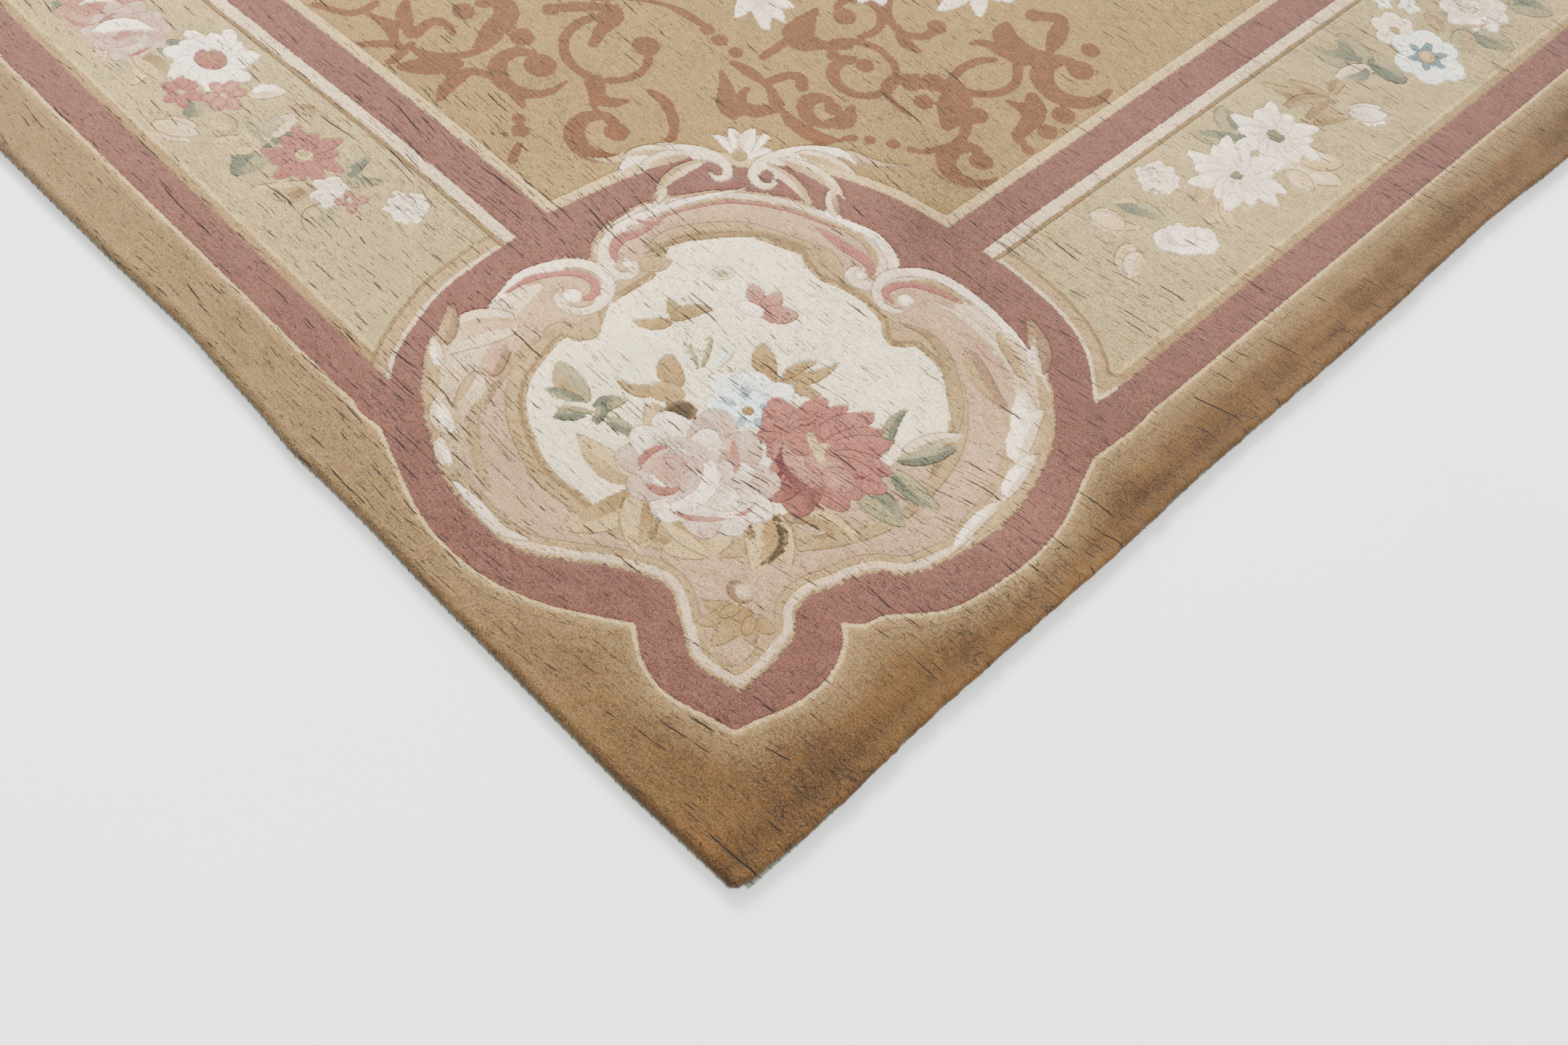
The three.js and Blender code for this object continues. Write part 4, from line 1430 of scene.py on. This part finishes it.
class Maker:
    """A material and the ways of adding nodes to it."""

    def __init__(self, name):
        self.material = bpy.data.materials.new(name)
        self.material.use_nodes = True
        self.nodes = self.material.node_tree.nodes
        self.links = self.material.node_tree.links
        self.shader = self.nodes["Principled BSDF"]
        self.place = self.wire("Object", "ShaderNodeTexCoord", {}, {})

    def node(self, kind, settings, sockets):
        """Adds a node with its settings first, then the values or links of its sockets."""
        made = self.nodes.new(kind)
        for name, value in settings.items():
            setattr(made, name, value)
        for key, value in sockets.items():
            if isinstance(value, Wire):
                self.links.new(value.socket, made.inputs[key])
            else:
                made.inputs[key].default_value = value
        return made

    def wire(self, output, kind, settings, sockets):
        """Adds a node and gives one of its outputs, by number or name."""
        return Wire(self, self.node(kind, settings, sockets).outputs[output])

    def maths(self, operation, *values):
        return self.wire(0, "ShaderNodeMath", {"operation": operation},
                         dict(enumerate(values)))

    def vector(self, operation, output, *values):
        return self.wire(output, "ShaderNodeVectorMath", {"operation": operation},
                         dict(enumerate(values)))

    def stretched(self, scale):
        """The object coordinates times a scale for each axis."""
        return self.vector("MULTIPLY", 0, self.place, scale)

    def noise(self, where, scale, detail=2.0, rough=0.5):
        return self.wire("Fac", "ShaderNodeTexNoise", {}, {
            "Vector": where, "Scale": scale, "Detail": detail, "Roughness": rough})

    def grain(self, stretch, scale, detail=2.0, rough=0.5):
        """Noise over the stretched object coordinates."""
        return self.noise(self.stretched(stretch), scale, detail, rough)

    def parts(self, vector):
        made = self.node("ShaderNodeSeparateXYZ", {}, {0: vector})
        return [Wire(self, socket) for socket in made.outputs]

    def joined(self, x, y, z):
        return self.wire(0, "ShaderNodeCombineXYZ", {}, {0: x, 1: y, 2: z})

    def ramp(self, value, low, high, start=0.0, end=1.0):
        """Eases from start to end as the value goes from low to high."""
        return self.wire("Result", "ShaderNodeMapRange", {"interpolation_type": "SMOOTHSTEP"}, {
            "Value": value, "From Min": low, "From Max": high, "To Min": start, "To Max": end})

    def mix(self, factor, first, second):
        """Mixes two colours, on the node's colour sockets: inputs 6 and 7 and output 2."""
        return self.wire(2, "ShaderNodeMix", {"data_type": "RGBA"}, {
            "Factor": factor, 6: first, 7: second})

    def shade(self, colour, amount):
        """A colour made lighter or darker, as a vector times a number."""
        return self.wire(0, "ShaderNodeVectorMath", {"operation": "SCALE"}, {
            0: colour, "Scale": amount})

    def attribute(self, name, output):
        return self.wire(output, "ShaderNodeAttribute", {"attribute_name": name}, {})

    def finish(self, colour, height, depth, strength, roughness, sheen=0.0):
        """Feeds the shader: colour, a bump of the given depth, and its constant values."""
        bump = self.node("ShaderNodeBump", {}, {
            "Strength": strength, "Distance": depth, "Height": height})
        inputs = self.shader.inputs
        self.links.new(colour.socket, inputs["Base Color"])
        self.links.new(bump.outputs[0], inputs["Normal"])
        inputs["Roughness"].default_value = roughness
        inputs["Specular IOR Level"].default_value = 0.15
        inputs["Sheen Weight"].default_value = sheen
        inputs["Sheen Roughness"].default_value = 0.5
        return self.material


# Worn places: x, y, z, how far they reach and how many more splits they have.
WORN_PLACES = [((1.05, -1.45, 0.0), 0.5, 0.04), ((0.55, -1.6, 0.0), 0.5, 0.045)]

# Rows of long splits: the gap between rows, the level that opens them, how fast they change
# along the way, their half-width and how deep the painted shade in them is.
SPLIT_LAYERS = [
    (0.021, 0.71, 18, 0.0007, 1.0), (0.011, 0.705, 36, 0.00045, 1.0),
    (0.005, 0.69, 70, 0.00025, 0.9),
]

# Cells of short splits: their length and breadth, the level that opens them, their half-width
# as a share and how deep the painted shade in them is; and where towards the long edges they begin.
CELL_SIZE, CELL_NEED, CELL_HALF, CELL_PAINTED_SHADE = (0.012, 0.008), 0.66, 0.015, 0.75
CELL_START, CELL_FULL = 1.27, 1.33


def splits(maker):
    """Splits where the pile has parted, darkened as painted shade in the gaps. Long ones follow
    the wefts, across the rug, bowed towards the long edges: in each row a noise shifts the
    split and opens it along the way. Short ones are the sides of uneven cells. Both are
    jagged, and a broad noise and the nearness to worn places call for more of them."""
    x, y = maker.parts(maker.place)[:2]
    wander = maker.grain((7, 7, 0), 1.0) * 0.03
    jagged = maker.grain((150, 120, 0), 1.0, 2.0, 0.7) * 0.0022
    bowed = maker.ramp(maker.maths("ABSOLUTE", x), 0.95, 1.44, 0.0, 0.06)
    line = y + wander + jagged - bowed
    crowd = maker.grain((3.0, 6.0, 0), 1.0, 2.0, 0.6) * 0.3
    for place, radius, more in WORN_PLACES:
        apart = maker.vector("DISTANCE", 1, maker.place, place)
        crowd = crowd + maker.ramp(apart, 0.0, radius, more, 0.0)
    cell = maker.joined(x * (1 / CELL_SIZE[0]) + jagged * 60, line * (1 / CELL_SIZE[1]), 0.0)
    side = maker.wire("Distance", "ShaderNodeTexVoronoi", {"feature": "DISTANCE_TO_EDGE"},
                      {"Vector": cell, "Scale": 1.0})
    level = maker.grain((30, 60, 0), 1.0, 3.0, 0.7)
    rim = maker.ramp(maker.maths("ABSOLUTE", x), CELL_START, CELL_FULL, -0.3, 0.0)
    open_by = maker.ramp(level + crowd + rim, CELL_NEED, CELL_NEED + 0.12)
    found = maker.ramp(side - open_by * CELL_HALF, 0.0, 0.035, CELL_PAINTED_SHADE, 0.0) * open_by
    for gap, need, reach, half, painted_shade in SPLIT_LAYERS:
        row = line * (1 / gap)
        index = maker.maths("FLOOR", row)
        shift = maker.noise(maker.joined(x * 7, index * 5.3, gap * 900), 1.0) * 1.2
        within = maker.maths("ABSOLUTE", maker.maths("FRACT", row) + shift - 1.1)
        level = maker.noise(maker.joined(x * reach, index * 7.31, gap * 500), 1.0, 2.0, 0.6)
        open_by = maker.ramp(level + crowd, need, need + 0.14)
        mark = open_by * maker.ramp(within * gap - open_by * half, 0.0, 0.0004, painted_shade, 0.0)
        found = maker.maths("MAXIMUM", found, mark)
    return found


# The painted shade between parted tufts, and the tints of warmer and cooler fibres.
SPLIT_PAINTED_SHADE = (0.008, 0.004, 0.002, 1)
WARM_TINT, COOL_TINT = (1.13, 0.975, 0.83, 1), (0.89, 1.025, 1.16, 1)


def wool_material(sizes):
    """Cut wool pile: two yarns meeting on a knotty line, carved grooves, flecks of warmer
    and cooler fibre, splits, and the painted light and shade of the leaning pile, with
    painted shade in the grooves, the splits and the rim walls."""
    maker = Maker("wool_pile")
    knots = maker.vector("FLOOR", 0, maker.stretched((1 / sizes.knot, 1 / sizes.knot, 0)))
    chance = maker.wire(0, "ShaderNodeTexWhiteNoise", {"noise_dimensions": "3D"},
                        {"Vector": knots})
    fuzz = maker.grain((1, 1, 1), 640.0, 2.0, 0.6)
    gap = maker.attribute("yarn_gap", "Fac")
    edge = gap + chance * 1.2 + fuzz * 3.4 - 2.3
    inside = maker.ramp(edge, -0.6, 0.6, 1.0, 0.0)
    wool = maker.mix(inside, maker.attribute("yarn_out", "Color"),
                     maker.attribute("yarn_in", "Color"))

    apart = maker.maths("ABSOLUTE", gap + fuzz - 0.5)
    groove = maker.attribute("yarn_in", "Alpha") * maker.ramp(apart, 0.3, 1.5, 1.0, 0.0)
    split = splits(maker)

    grain = maker.grain((1, 0.8, 1), 820.0, 3.0, 0.8)
    tint = maker.ramp(maker.grain((1, 0.9, 0.4), 430.0, 2.0, 0.7), 0.3, 0.7)
    wool = maker.vector("MULTIPLY", 0, wool, maker.mix(tint, WARM_TINT, COOL_TINT))
    tufts = maker.grain((0.5, 1.8, 1), 150.0, 3.0, 0.65)
    mottle = maker.grain((1, 1.5, 1), 26.0, 3.0, 0.6)
    # The rim's walls are darkened below the shoulder: partly their fibres' own colour, partly
    # painted shade.
    low = maker.ramp(maker.parts(maker.place)[2], 0.004, 0.0136, 0.42, 1.0)
    tone = grain * 4.0 + tufts + mottle * 0.5 + maker.attribute("painted_light", "Fac") - 1.75
    # The carved grooves darken the colour with painted shade, as they also lower the bump.
    tone = maker.maths("MAXIMUM", tone, 0.3) * low * (1 - groove * 0.42)
    # The splits are mixed towards painted shade.
    wool = maker.mix(split * 0.95, maker.shade(wool, tone), SPLIT_PAINTED_SHADE)
    height = grain * 0.7 + tufts * 0.6 - groove - split * 0.5
    return maker.finish(wool, height, 0.0014, 0.9, 0.95, 0.1)


# The back's cotton ground, and how far apart the lines of the tape's twill are.
COTTON = (0.58, 0.52, 0.42, 1)
TWILL_PITCH = 0.0016


def back_material(pitch):
    """The knotted back: rows of knots in the yarns of the plain bands, read from the
    distance to the nearest edge, over a cotton ground."""
    maker = Maker("knotted_back")
    x, y = maker.parts(maker.place)[:2]
    across = HALF_WIDTH - maker.maths("ABSOLUTE", x)
    along = HALF_LENGTH - maker.maths("ABSOLUTE", y)
    depth = maker.maths("MINIMUM", across, along)
    yarns = {name: (*colour, 1) for name, colour in palette().items()}
    colour = yarns["gold"]
    for start, name in BACK_BANDS:
        step = maker.ramp(depth, start - 0.001, start + 0.001)
        colour = maker.mix(step, colour, yarns[name])
    turns = 2 * math.pi / pitch
    rows = maker.maths("SINE", y * turns)
    bumps = rows * maker.maths("SINE", x * turns + rows * 0.4)
    grain = maker.grain((1, 1, 1), 300.0, 3.0)
    colour = maker.mix(maker.ramp(bumps, -1.0, 0.2, 0.75, 0.2), colour, COTTON)
    tone = 0.62 + grain * 0.5 + bumps * 0.08
    return maker.finish(maker.shade(colour, tone), bumps, 0.0008, 0.6, 0.95)


def binding_material():
    """Flat cotton tape with a fine twill and a few stains."""
    maker = Maker("binding_tape")
    x, y, z = maker.parts(maker.place)
    twill = maker.maths("SINE", (x + y + z * 1.4) * (2 * math.pi / TWILL_PITCH))
    stain = maker.grain((1, 1, 1), 24.0, 3.0)
    grain = maker.grain((1, 1, 1), 900.0, 2.0)
    tape = maker.mix(stain, (0.30, 0.31, 0.24, 1), (0.16, 0.18, 0.12, 1))
    tone = 0.75 + grain * 0.35 + twill * 0.07
    return maker.finish(maker.shade(tape, tone), twill, 0.0002, 0.5, 0.9)


def stitch_material():
    """Dark waxed sewing thread."""
    maker = Maker("sewing_thread")
    grain = maker.grain((1, 1, 1), 1400.0, 2.0)
    thread = maker.mix(grain, (0.05, 0.045, 0.04, 1), (0.16, 0.14, 0.12, 1))
    return maker.finish(thread, grain, 0.0002, 0.4, 0.7)


# Back and binding

# Where each band starts on the back, from the nearest edge, and its yarn.
BACK_BANDS = [
    (0.096, "madder"), (0.137, "cream"), (0.15, "panel"), (0.335, "ivory"), (0.35, "madder"),
    (0.395, "cream"), (0.41, "field"),
]

# How far the back stands in and up, its step, its plain rim and how far the edges' drift fades.
BACK_INSET, BACK_RISE, BACK_STEP = 0.0062, 0.0001, 0.03
BACK_RIM, BACK_FADE = 0.02, 0.09

# The foundation's section from its edge inwards: further in, and height.
BACK_PROFILE = [(0.0, 0.0033), (0.0003, 0.0012), (0.0012, 0.0003), (0.004, 0.0002)]

# The tape's section, out to in along its own width, and its height, as shares.
TAPE_SECTION = [
    (0.05, 0.0), (0.0, 0.2), (0.0, 0.75), (0.1, 0.97), (0.35, 1.0), (0.9, 1.0), (1.0, 0.85),
    (1.0, 0.1), (0.95, 0.0),
]

# The stitches: their pitch, how far they stay from the tape's ends, stray and slant, the
# thread's thickness, and the thread's way over the tape, as a distance in and a height.
STITCH_PITCH, STITCH_MARGIN, STITCH_STRAY, STITCH_SLANT = 0.011, 0.004, 0.0015, 0.0012
THREAD = 0.0006
STITCH_ROUTE = [
    (0.004, 0.00305), (0.0006, 0.0031), (-0.0003, 0.0024), (-0.0003, 0.0008), (0.0005, 0.00005),
]


def edge_run(name, places, inset, lines):
    """Points on one edge at the places along it, drawn in from the outermost pile."""
    axis, sign = EDGES[name]
    level = sign * (HALVES[axis] - inset - np.interp(places, *lines[name]))
    return np.stack([level, places] if axis == 0 else [places, level], -1)


def turned_out(faces, name):
    """Faces in the order that points them outwards for an edge's side of the rug."""
    return faces if name in ("right", "front") else faces[:, ::-1]


def tube_faces(index):
    """The quads round a tube, from the numbers of the points of its rings."""
    around = np.roll(index, -1, axis=1)
    return np.stack([index[:-1], index[1:], around[1:], around[:-1]], -1).reshape(-1, 4)


def binding_ends(name):
    """Where an edge's binding solid starts and ends along the edge."""
    along = 1 - EDGES[name][0]
    return [float(corner[along]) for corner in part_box(f"binding_{name}")]


def make_back(lines):
    """The flat back of the knotted body, with its low edge turned up under the pile."""
    insets, heights = np.array(BACK_PROFILE).T
    insets = insets + BACK_INSET
    inner = insets[-1] + BACK_RIM
    places = []
    for half in HALVES:
        count = math.ceil(2 * (half - inner) / BACK_STEP)
        middle = np.linspace(-half + inner, half - inner, count + 1)
        places.append(np.concatenate([-half + insets, middle, half - insets[::-1]]))
    x, y = np.meshgrid(*places, indexing="ij")
    depth = np.minimum(HALF_WIDTH - np.abs(x), HALF_LENGTH - np.abs(y))
    z = np.interp(depth, np.append(insets, inner), np.append(heights, 0))
    for name, (axis, sign) in EDGES.items():
        here, other = (x, y) if axis == 0 else (y, x)
        fade = np.clip(1 - (HALVES[axis] - sign * here - BACK_INSET) / BACK_FADE, 0, 1)
        here -= sign * np.interp(other, *lines[name]) * fade
    points = np.stack([x, y, z + BACK_RISE], -1).reshape(-1, 3)
    faces = grid_faces(*x.shape)[:, ::-1]
    piece = make_mesh("knotted_back", points, faces)
    add_uv(piece, faces, points[:, :2] / np.array(HALVES) * 0.49 + 0.5)
    return piece


def make_binding(name, lines):
    """The tape along one edge: its section carried along the edge, closed at both ends."""
    start, end = binding_ends(name)
    places = np.linspace(start, end, math.ceil((end - start) / BACK_STEP) + 1)
    rows = []
    for out, height in TAPE_SECTION:
        run = edge_run(name, places, BINDING_REVEAL + out * BINDING_WIDTH, lines)
        level = np.full((len(places), 1), height * BINDING_HEIGHT)
        rows.append(np.concatenate([run, level], 1))
    size = len(TAPE_SECTION)
    index = np.arange(len(places) * size).reshape(-1, size)
    ends = []
    for ring, order in ((index[0], 1), (index[-1], -1)):
        for k in range(1, size - 2, 2):
            quad = [ring[0], ring[k], ring[k + 1], ring[k + 2]]
            ends.append(quad[::order])
    faces = np.concatenate([tube_faces(index), ends])
    points = np.stack(rows, 1).reshape(-1, 3)
    return make_mesh(f"tape_{name}", points, turned_out(faces, name))


def make_stitches(name, lines):
    """Overcast stitches on one edge: slanting bars of thread over the tape's outer side."""
    start, end = binding_ends(name)
    start, end = start + STITCH_MARGIN, end - STITCH_MARGIN
    count = int((end - start) / STITCH_PITCH)
    places = np.linspace(start, end, count)
    rng = np.random.default_rng(31)
    places = places + rng.uniform(-STITCH_STRAY, STITCH_STRAY, count)
    slant = np.linspace(-STITCH_SLANT, STITCH_SLANT, len(STITCH_ROUTE))
    rings = []
    for (inset, height), lean in zip(STITCH_ROUTE, slant):
        for across, up in ((-1, 0), (0, 1), (1, 0), (0, -0.4)):
            run = edge_run(name, places + lean + across * THREAD,
                           BINDING_REVEAL + inset - max(up, 0) * THREAD * 0.8, lines)
            level = np.full((count, 1), max(height + up * THREAD * 0.6, 0.00003))
            rings.append(np.concatenate([run, level], 1))
    one = np.arange(len(rings)).reshape(-1, 4)
    faces = np.concatenate([tube_faces(one), one[:1, ::-1], one[-1:]])
    step = np.arange(count)[:, None, None] * len(rings)
    faces = (faces[None] + step).reshape(-1, 4)
    points = np.stack(rings, 1).reshape(-1, 3)
    return make_mesh(f"stitches_{name}", points, turned_out(faces, name))


# Stage

# The camera from the front right corner of the pile, its turns in degrees and its lens; the
# floor's reach and level; and the strength of the room's even light.
CAMERA_OFFSET = (0.3508, -0.5947, 1.5)
CAMERA_HEADING, CAMERA_DOWN, CAMERA_ROLL = 33.49, 54.54, 13.87
LENS = 45.136
FLOOR_REACH, FLOOR_LEVEL = 14.0, -0.0006
ROOM_LIGHT = 1.56


def make_camera():
    """The camera at the photograph's angle, placed from the front right corner."""
    data = bpy.data.cameras.new("camera")
    data.lens = LENS
    data.sensor_width = 36
    data.clip_end = 100
    camera = bpy.data.objects.new("camera", data)
    dx, dy, dz = CAMERA_OFFSET
    place = Matrix.Translation((HALF_WIDTH + dx, dy - HALF_LENGTH, PILE_TOP + dz))
    turn = Matrix.Rotation(math.radians(CAMERA_HEADING), 4, "Z")
    tilt = Matrix.Rotation(math.radians(90 - CAMERA_DOWN), 4, "X")
    roll = Matrix.Rotation(math.radians(CAMERA_ROLL), 4, "Z")
    camera.matrix_world = place @ turn @ tilt @ roll
    bpy.context.scene.collection.objects.link(camera)
    bpy.context.scene.camera = camera


def make_light(name, place, size, power, aim):
    """A square soft light that faces a point."""
    data = bpy.data.lights.new(name, "AREA")
    data.size = size
    data.energy = power
    light = bpy.data.objects.new(name, data)
    x, y, z = (a - b for a, b in zip(place, aim))
    light.location = place
    light.rotation_euler = (0, math.atan2(math.hypot(x, y), z), math.atan2(y, x))
    bpy.context.scene.collection.objects.link(light)


def make_floor():
    """A pale floor under the rug."""
    side = np.linspace(-FLOOR_REACH, FLOOR_REACH, 9)
    x, y = np.meshgrid(side, side, indexing="ij")
    points = np.stack([x, y, np.full(x.shape, FLOOR_LEVEL)], -1).reshape(-1, 3)
    floor = make_mesh("floor", points, grid_faces(9, 9))
    maker = Maker("floor_paint")
    speck = maker.grain((1, 1, 1), 3.0)
    paint = maker.mix(speck, (0.86, 0.86, 0.85, 1), (0.9, 0.9, 0.89, 1))
    floor.data.materials.append(maker.finish(paint, speck, 0.0001, 0.1, 0.7))
    floor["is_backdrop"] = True


class RUG_OT_pile(bpy.types.Operator):
    """Makes the four quarters of the carved pile"""

    bl_idname = "rug.pile"
    bl_label = "Pile"

    def execute(self, context):
        sizes = context.scene.rug_sizes
        chart = draw_chart(*pile_places(sizes))
        lines = edge_lines()
        material = wool_material(sizes)
        for name in QUARTERS:
            piece = make_pile(name, chart, sizes, lines)
            piece.data.materials.append(material)
            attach(piece, "root")
            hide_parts("rug_body")
        return {"FINISHED"}


class RUG_OT_back(bpy.types.Operator):
    """Makes the knotted back of the rug"""

    bl_idname = "rug.back"
    bl_label = "Back"

    def execute(self, context):
        piece = make_back(edge_lines())
        piece.data.materials.append(back_material(context.scene.rug_sizes.knot))
        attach(piece, "root")
        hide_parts("rug_body")
        return {"FINISHED"}


class RUG_OT_binding(bpy.types.Operator):
    """Makes the tape and the stitches of the four edges"""

    bl_idname = "rug.binding"
    bl_label = "Binding"

    def execute(self, context):
        lines = edge_lines()
        tape_look = binding_material()
        thread_look = stitch_material()
        for name in EDGES:
            tape = make_binding(name, lines)
            tape.data.materials.append(tape_look)
            stitches = make_stitches(name, lines)
            stitches.data.materials.append(thread_look)
            for piece in (tape, stitches):
                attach(piece, "root")
            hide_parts(f"binding_{name}")
        return {"FINISHED"}


class RUG_OT_stage(bpy.types.Operator):
    """Makes the floor, the lights and the camera"""

    bl_idname = "rug.stage"
    bl_label = "Stage"

    def execute(self, context):
        make_floor()
        make_camera()
        make_light("window", (-3.4, 1.4, 3.6), 3.0, 1380, (0.6, -1.2, 0))
        make_light("fill", (3.5, -3.5, 4.5), 4.0, 156, (1, -1, 0))
        world = bpy.data.worlds.new("room")
        world.use_nodes = True
        background = world.node_tree.nodes["Background"]
        background.inputs[0].default_value = (1, 1, 1, 1)
        background.inputs[1].default_value = ROOM_LIGHT
        context.scene.world = world
        return {"FINISHED"}


class RUG_PT_panel(bpy.types.Panel):
    """Lists the rug's operators"""

    bl_label = "Savonnerie rug"
    bl_idname = "RUG_PT_panel"
    bl_space_type = "VIEW_3D"
    bl_region_type = "UI"
    bl_category = "Rug"

    def draw(self, context):
        for operator in OPERATORS:
            self.layout.operator(operator.bl_idname)
        for group in (context.scene.rug_sizes, context.scene.rug_yarns):
            for name in type(group).__annotations__:
                self.layout.prop(group, name)


OPERATORS = (RUG_OT_stage, RUG_OT_pile, RUG_OT_back, RUG_OT_binding)
CLASSES = (RugYarns, RugSizes) + OPERATORS + (RUG_PT_panel,)


def register():
    for item in CLASSES:
        bpy.utils.register_class(item)
    bpy.types.Scene.rug_yarns = bpy.props.PointerProperty(type=RugYarns)
    bpy.types.Scene.rug_sizes = bpy.props.PointerProperty(type=RugSizes)


def unregister():
    del bpy.types.Scene.rug_sizes
    del bpy.types.Scene.rug_yarns
    for item in reversed(CLASSES):
        bpy.utils.unregister_class(item)


def plain(box):
    """A box as plain lists of numbers."""
    return [[float(v) for v in corner] for corner in box]


def main():
    register()
    bpy.ops.rug.stage()
    bpy.ops.rug.pile()
    bpy.ops.rug.back()
    bpy.ops.rug.binding()
    {"cad": plain(CAD_BOX), "visual": plain(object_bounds())}


if __name__ == "__main__":
    main()
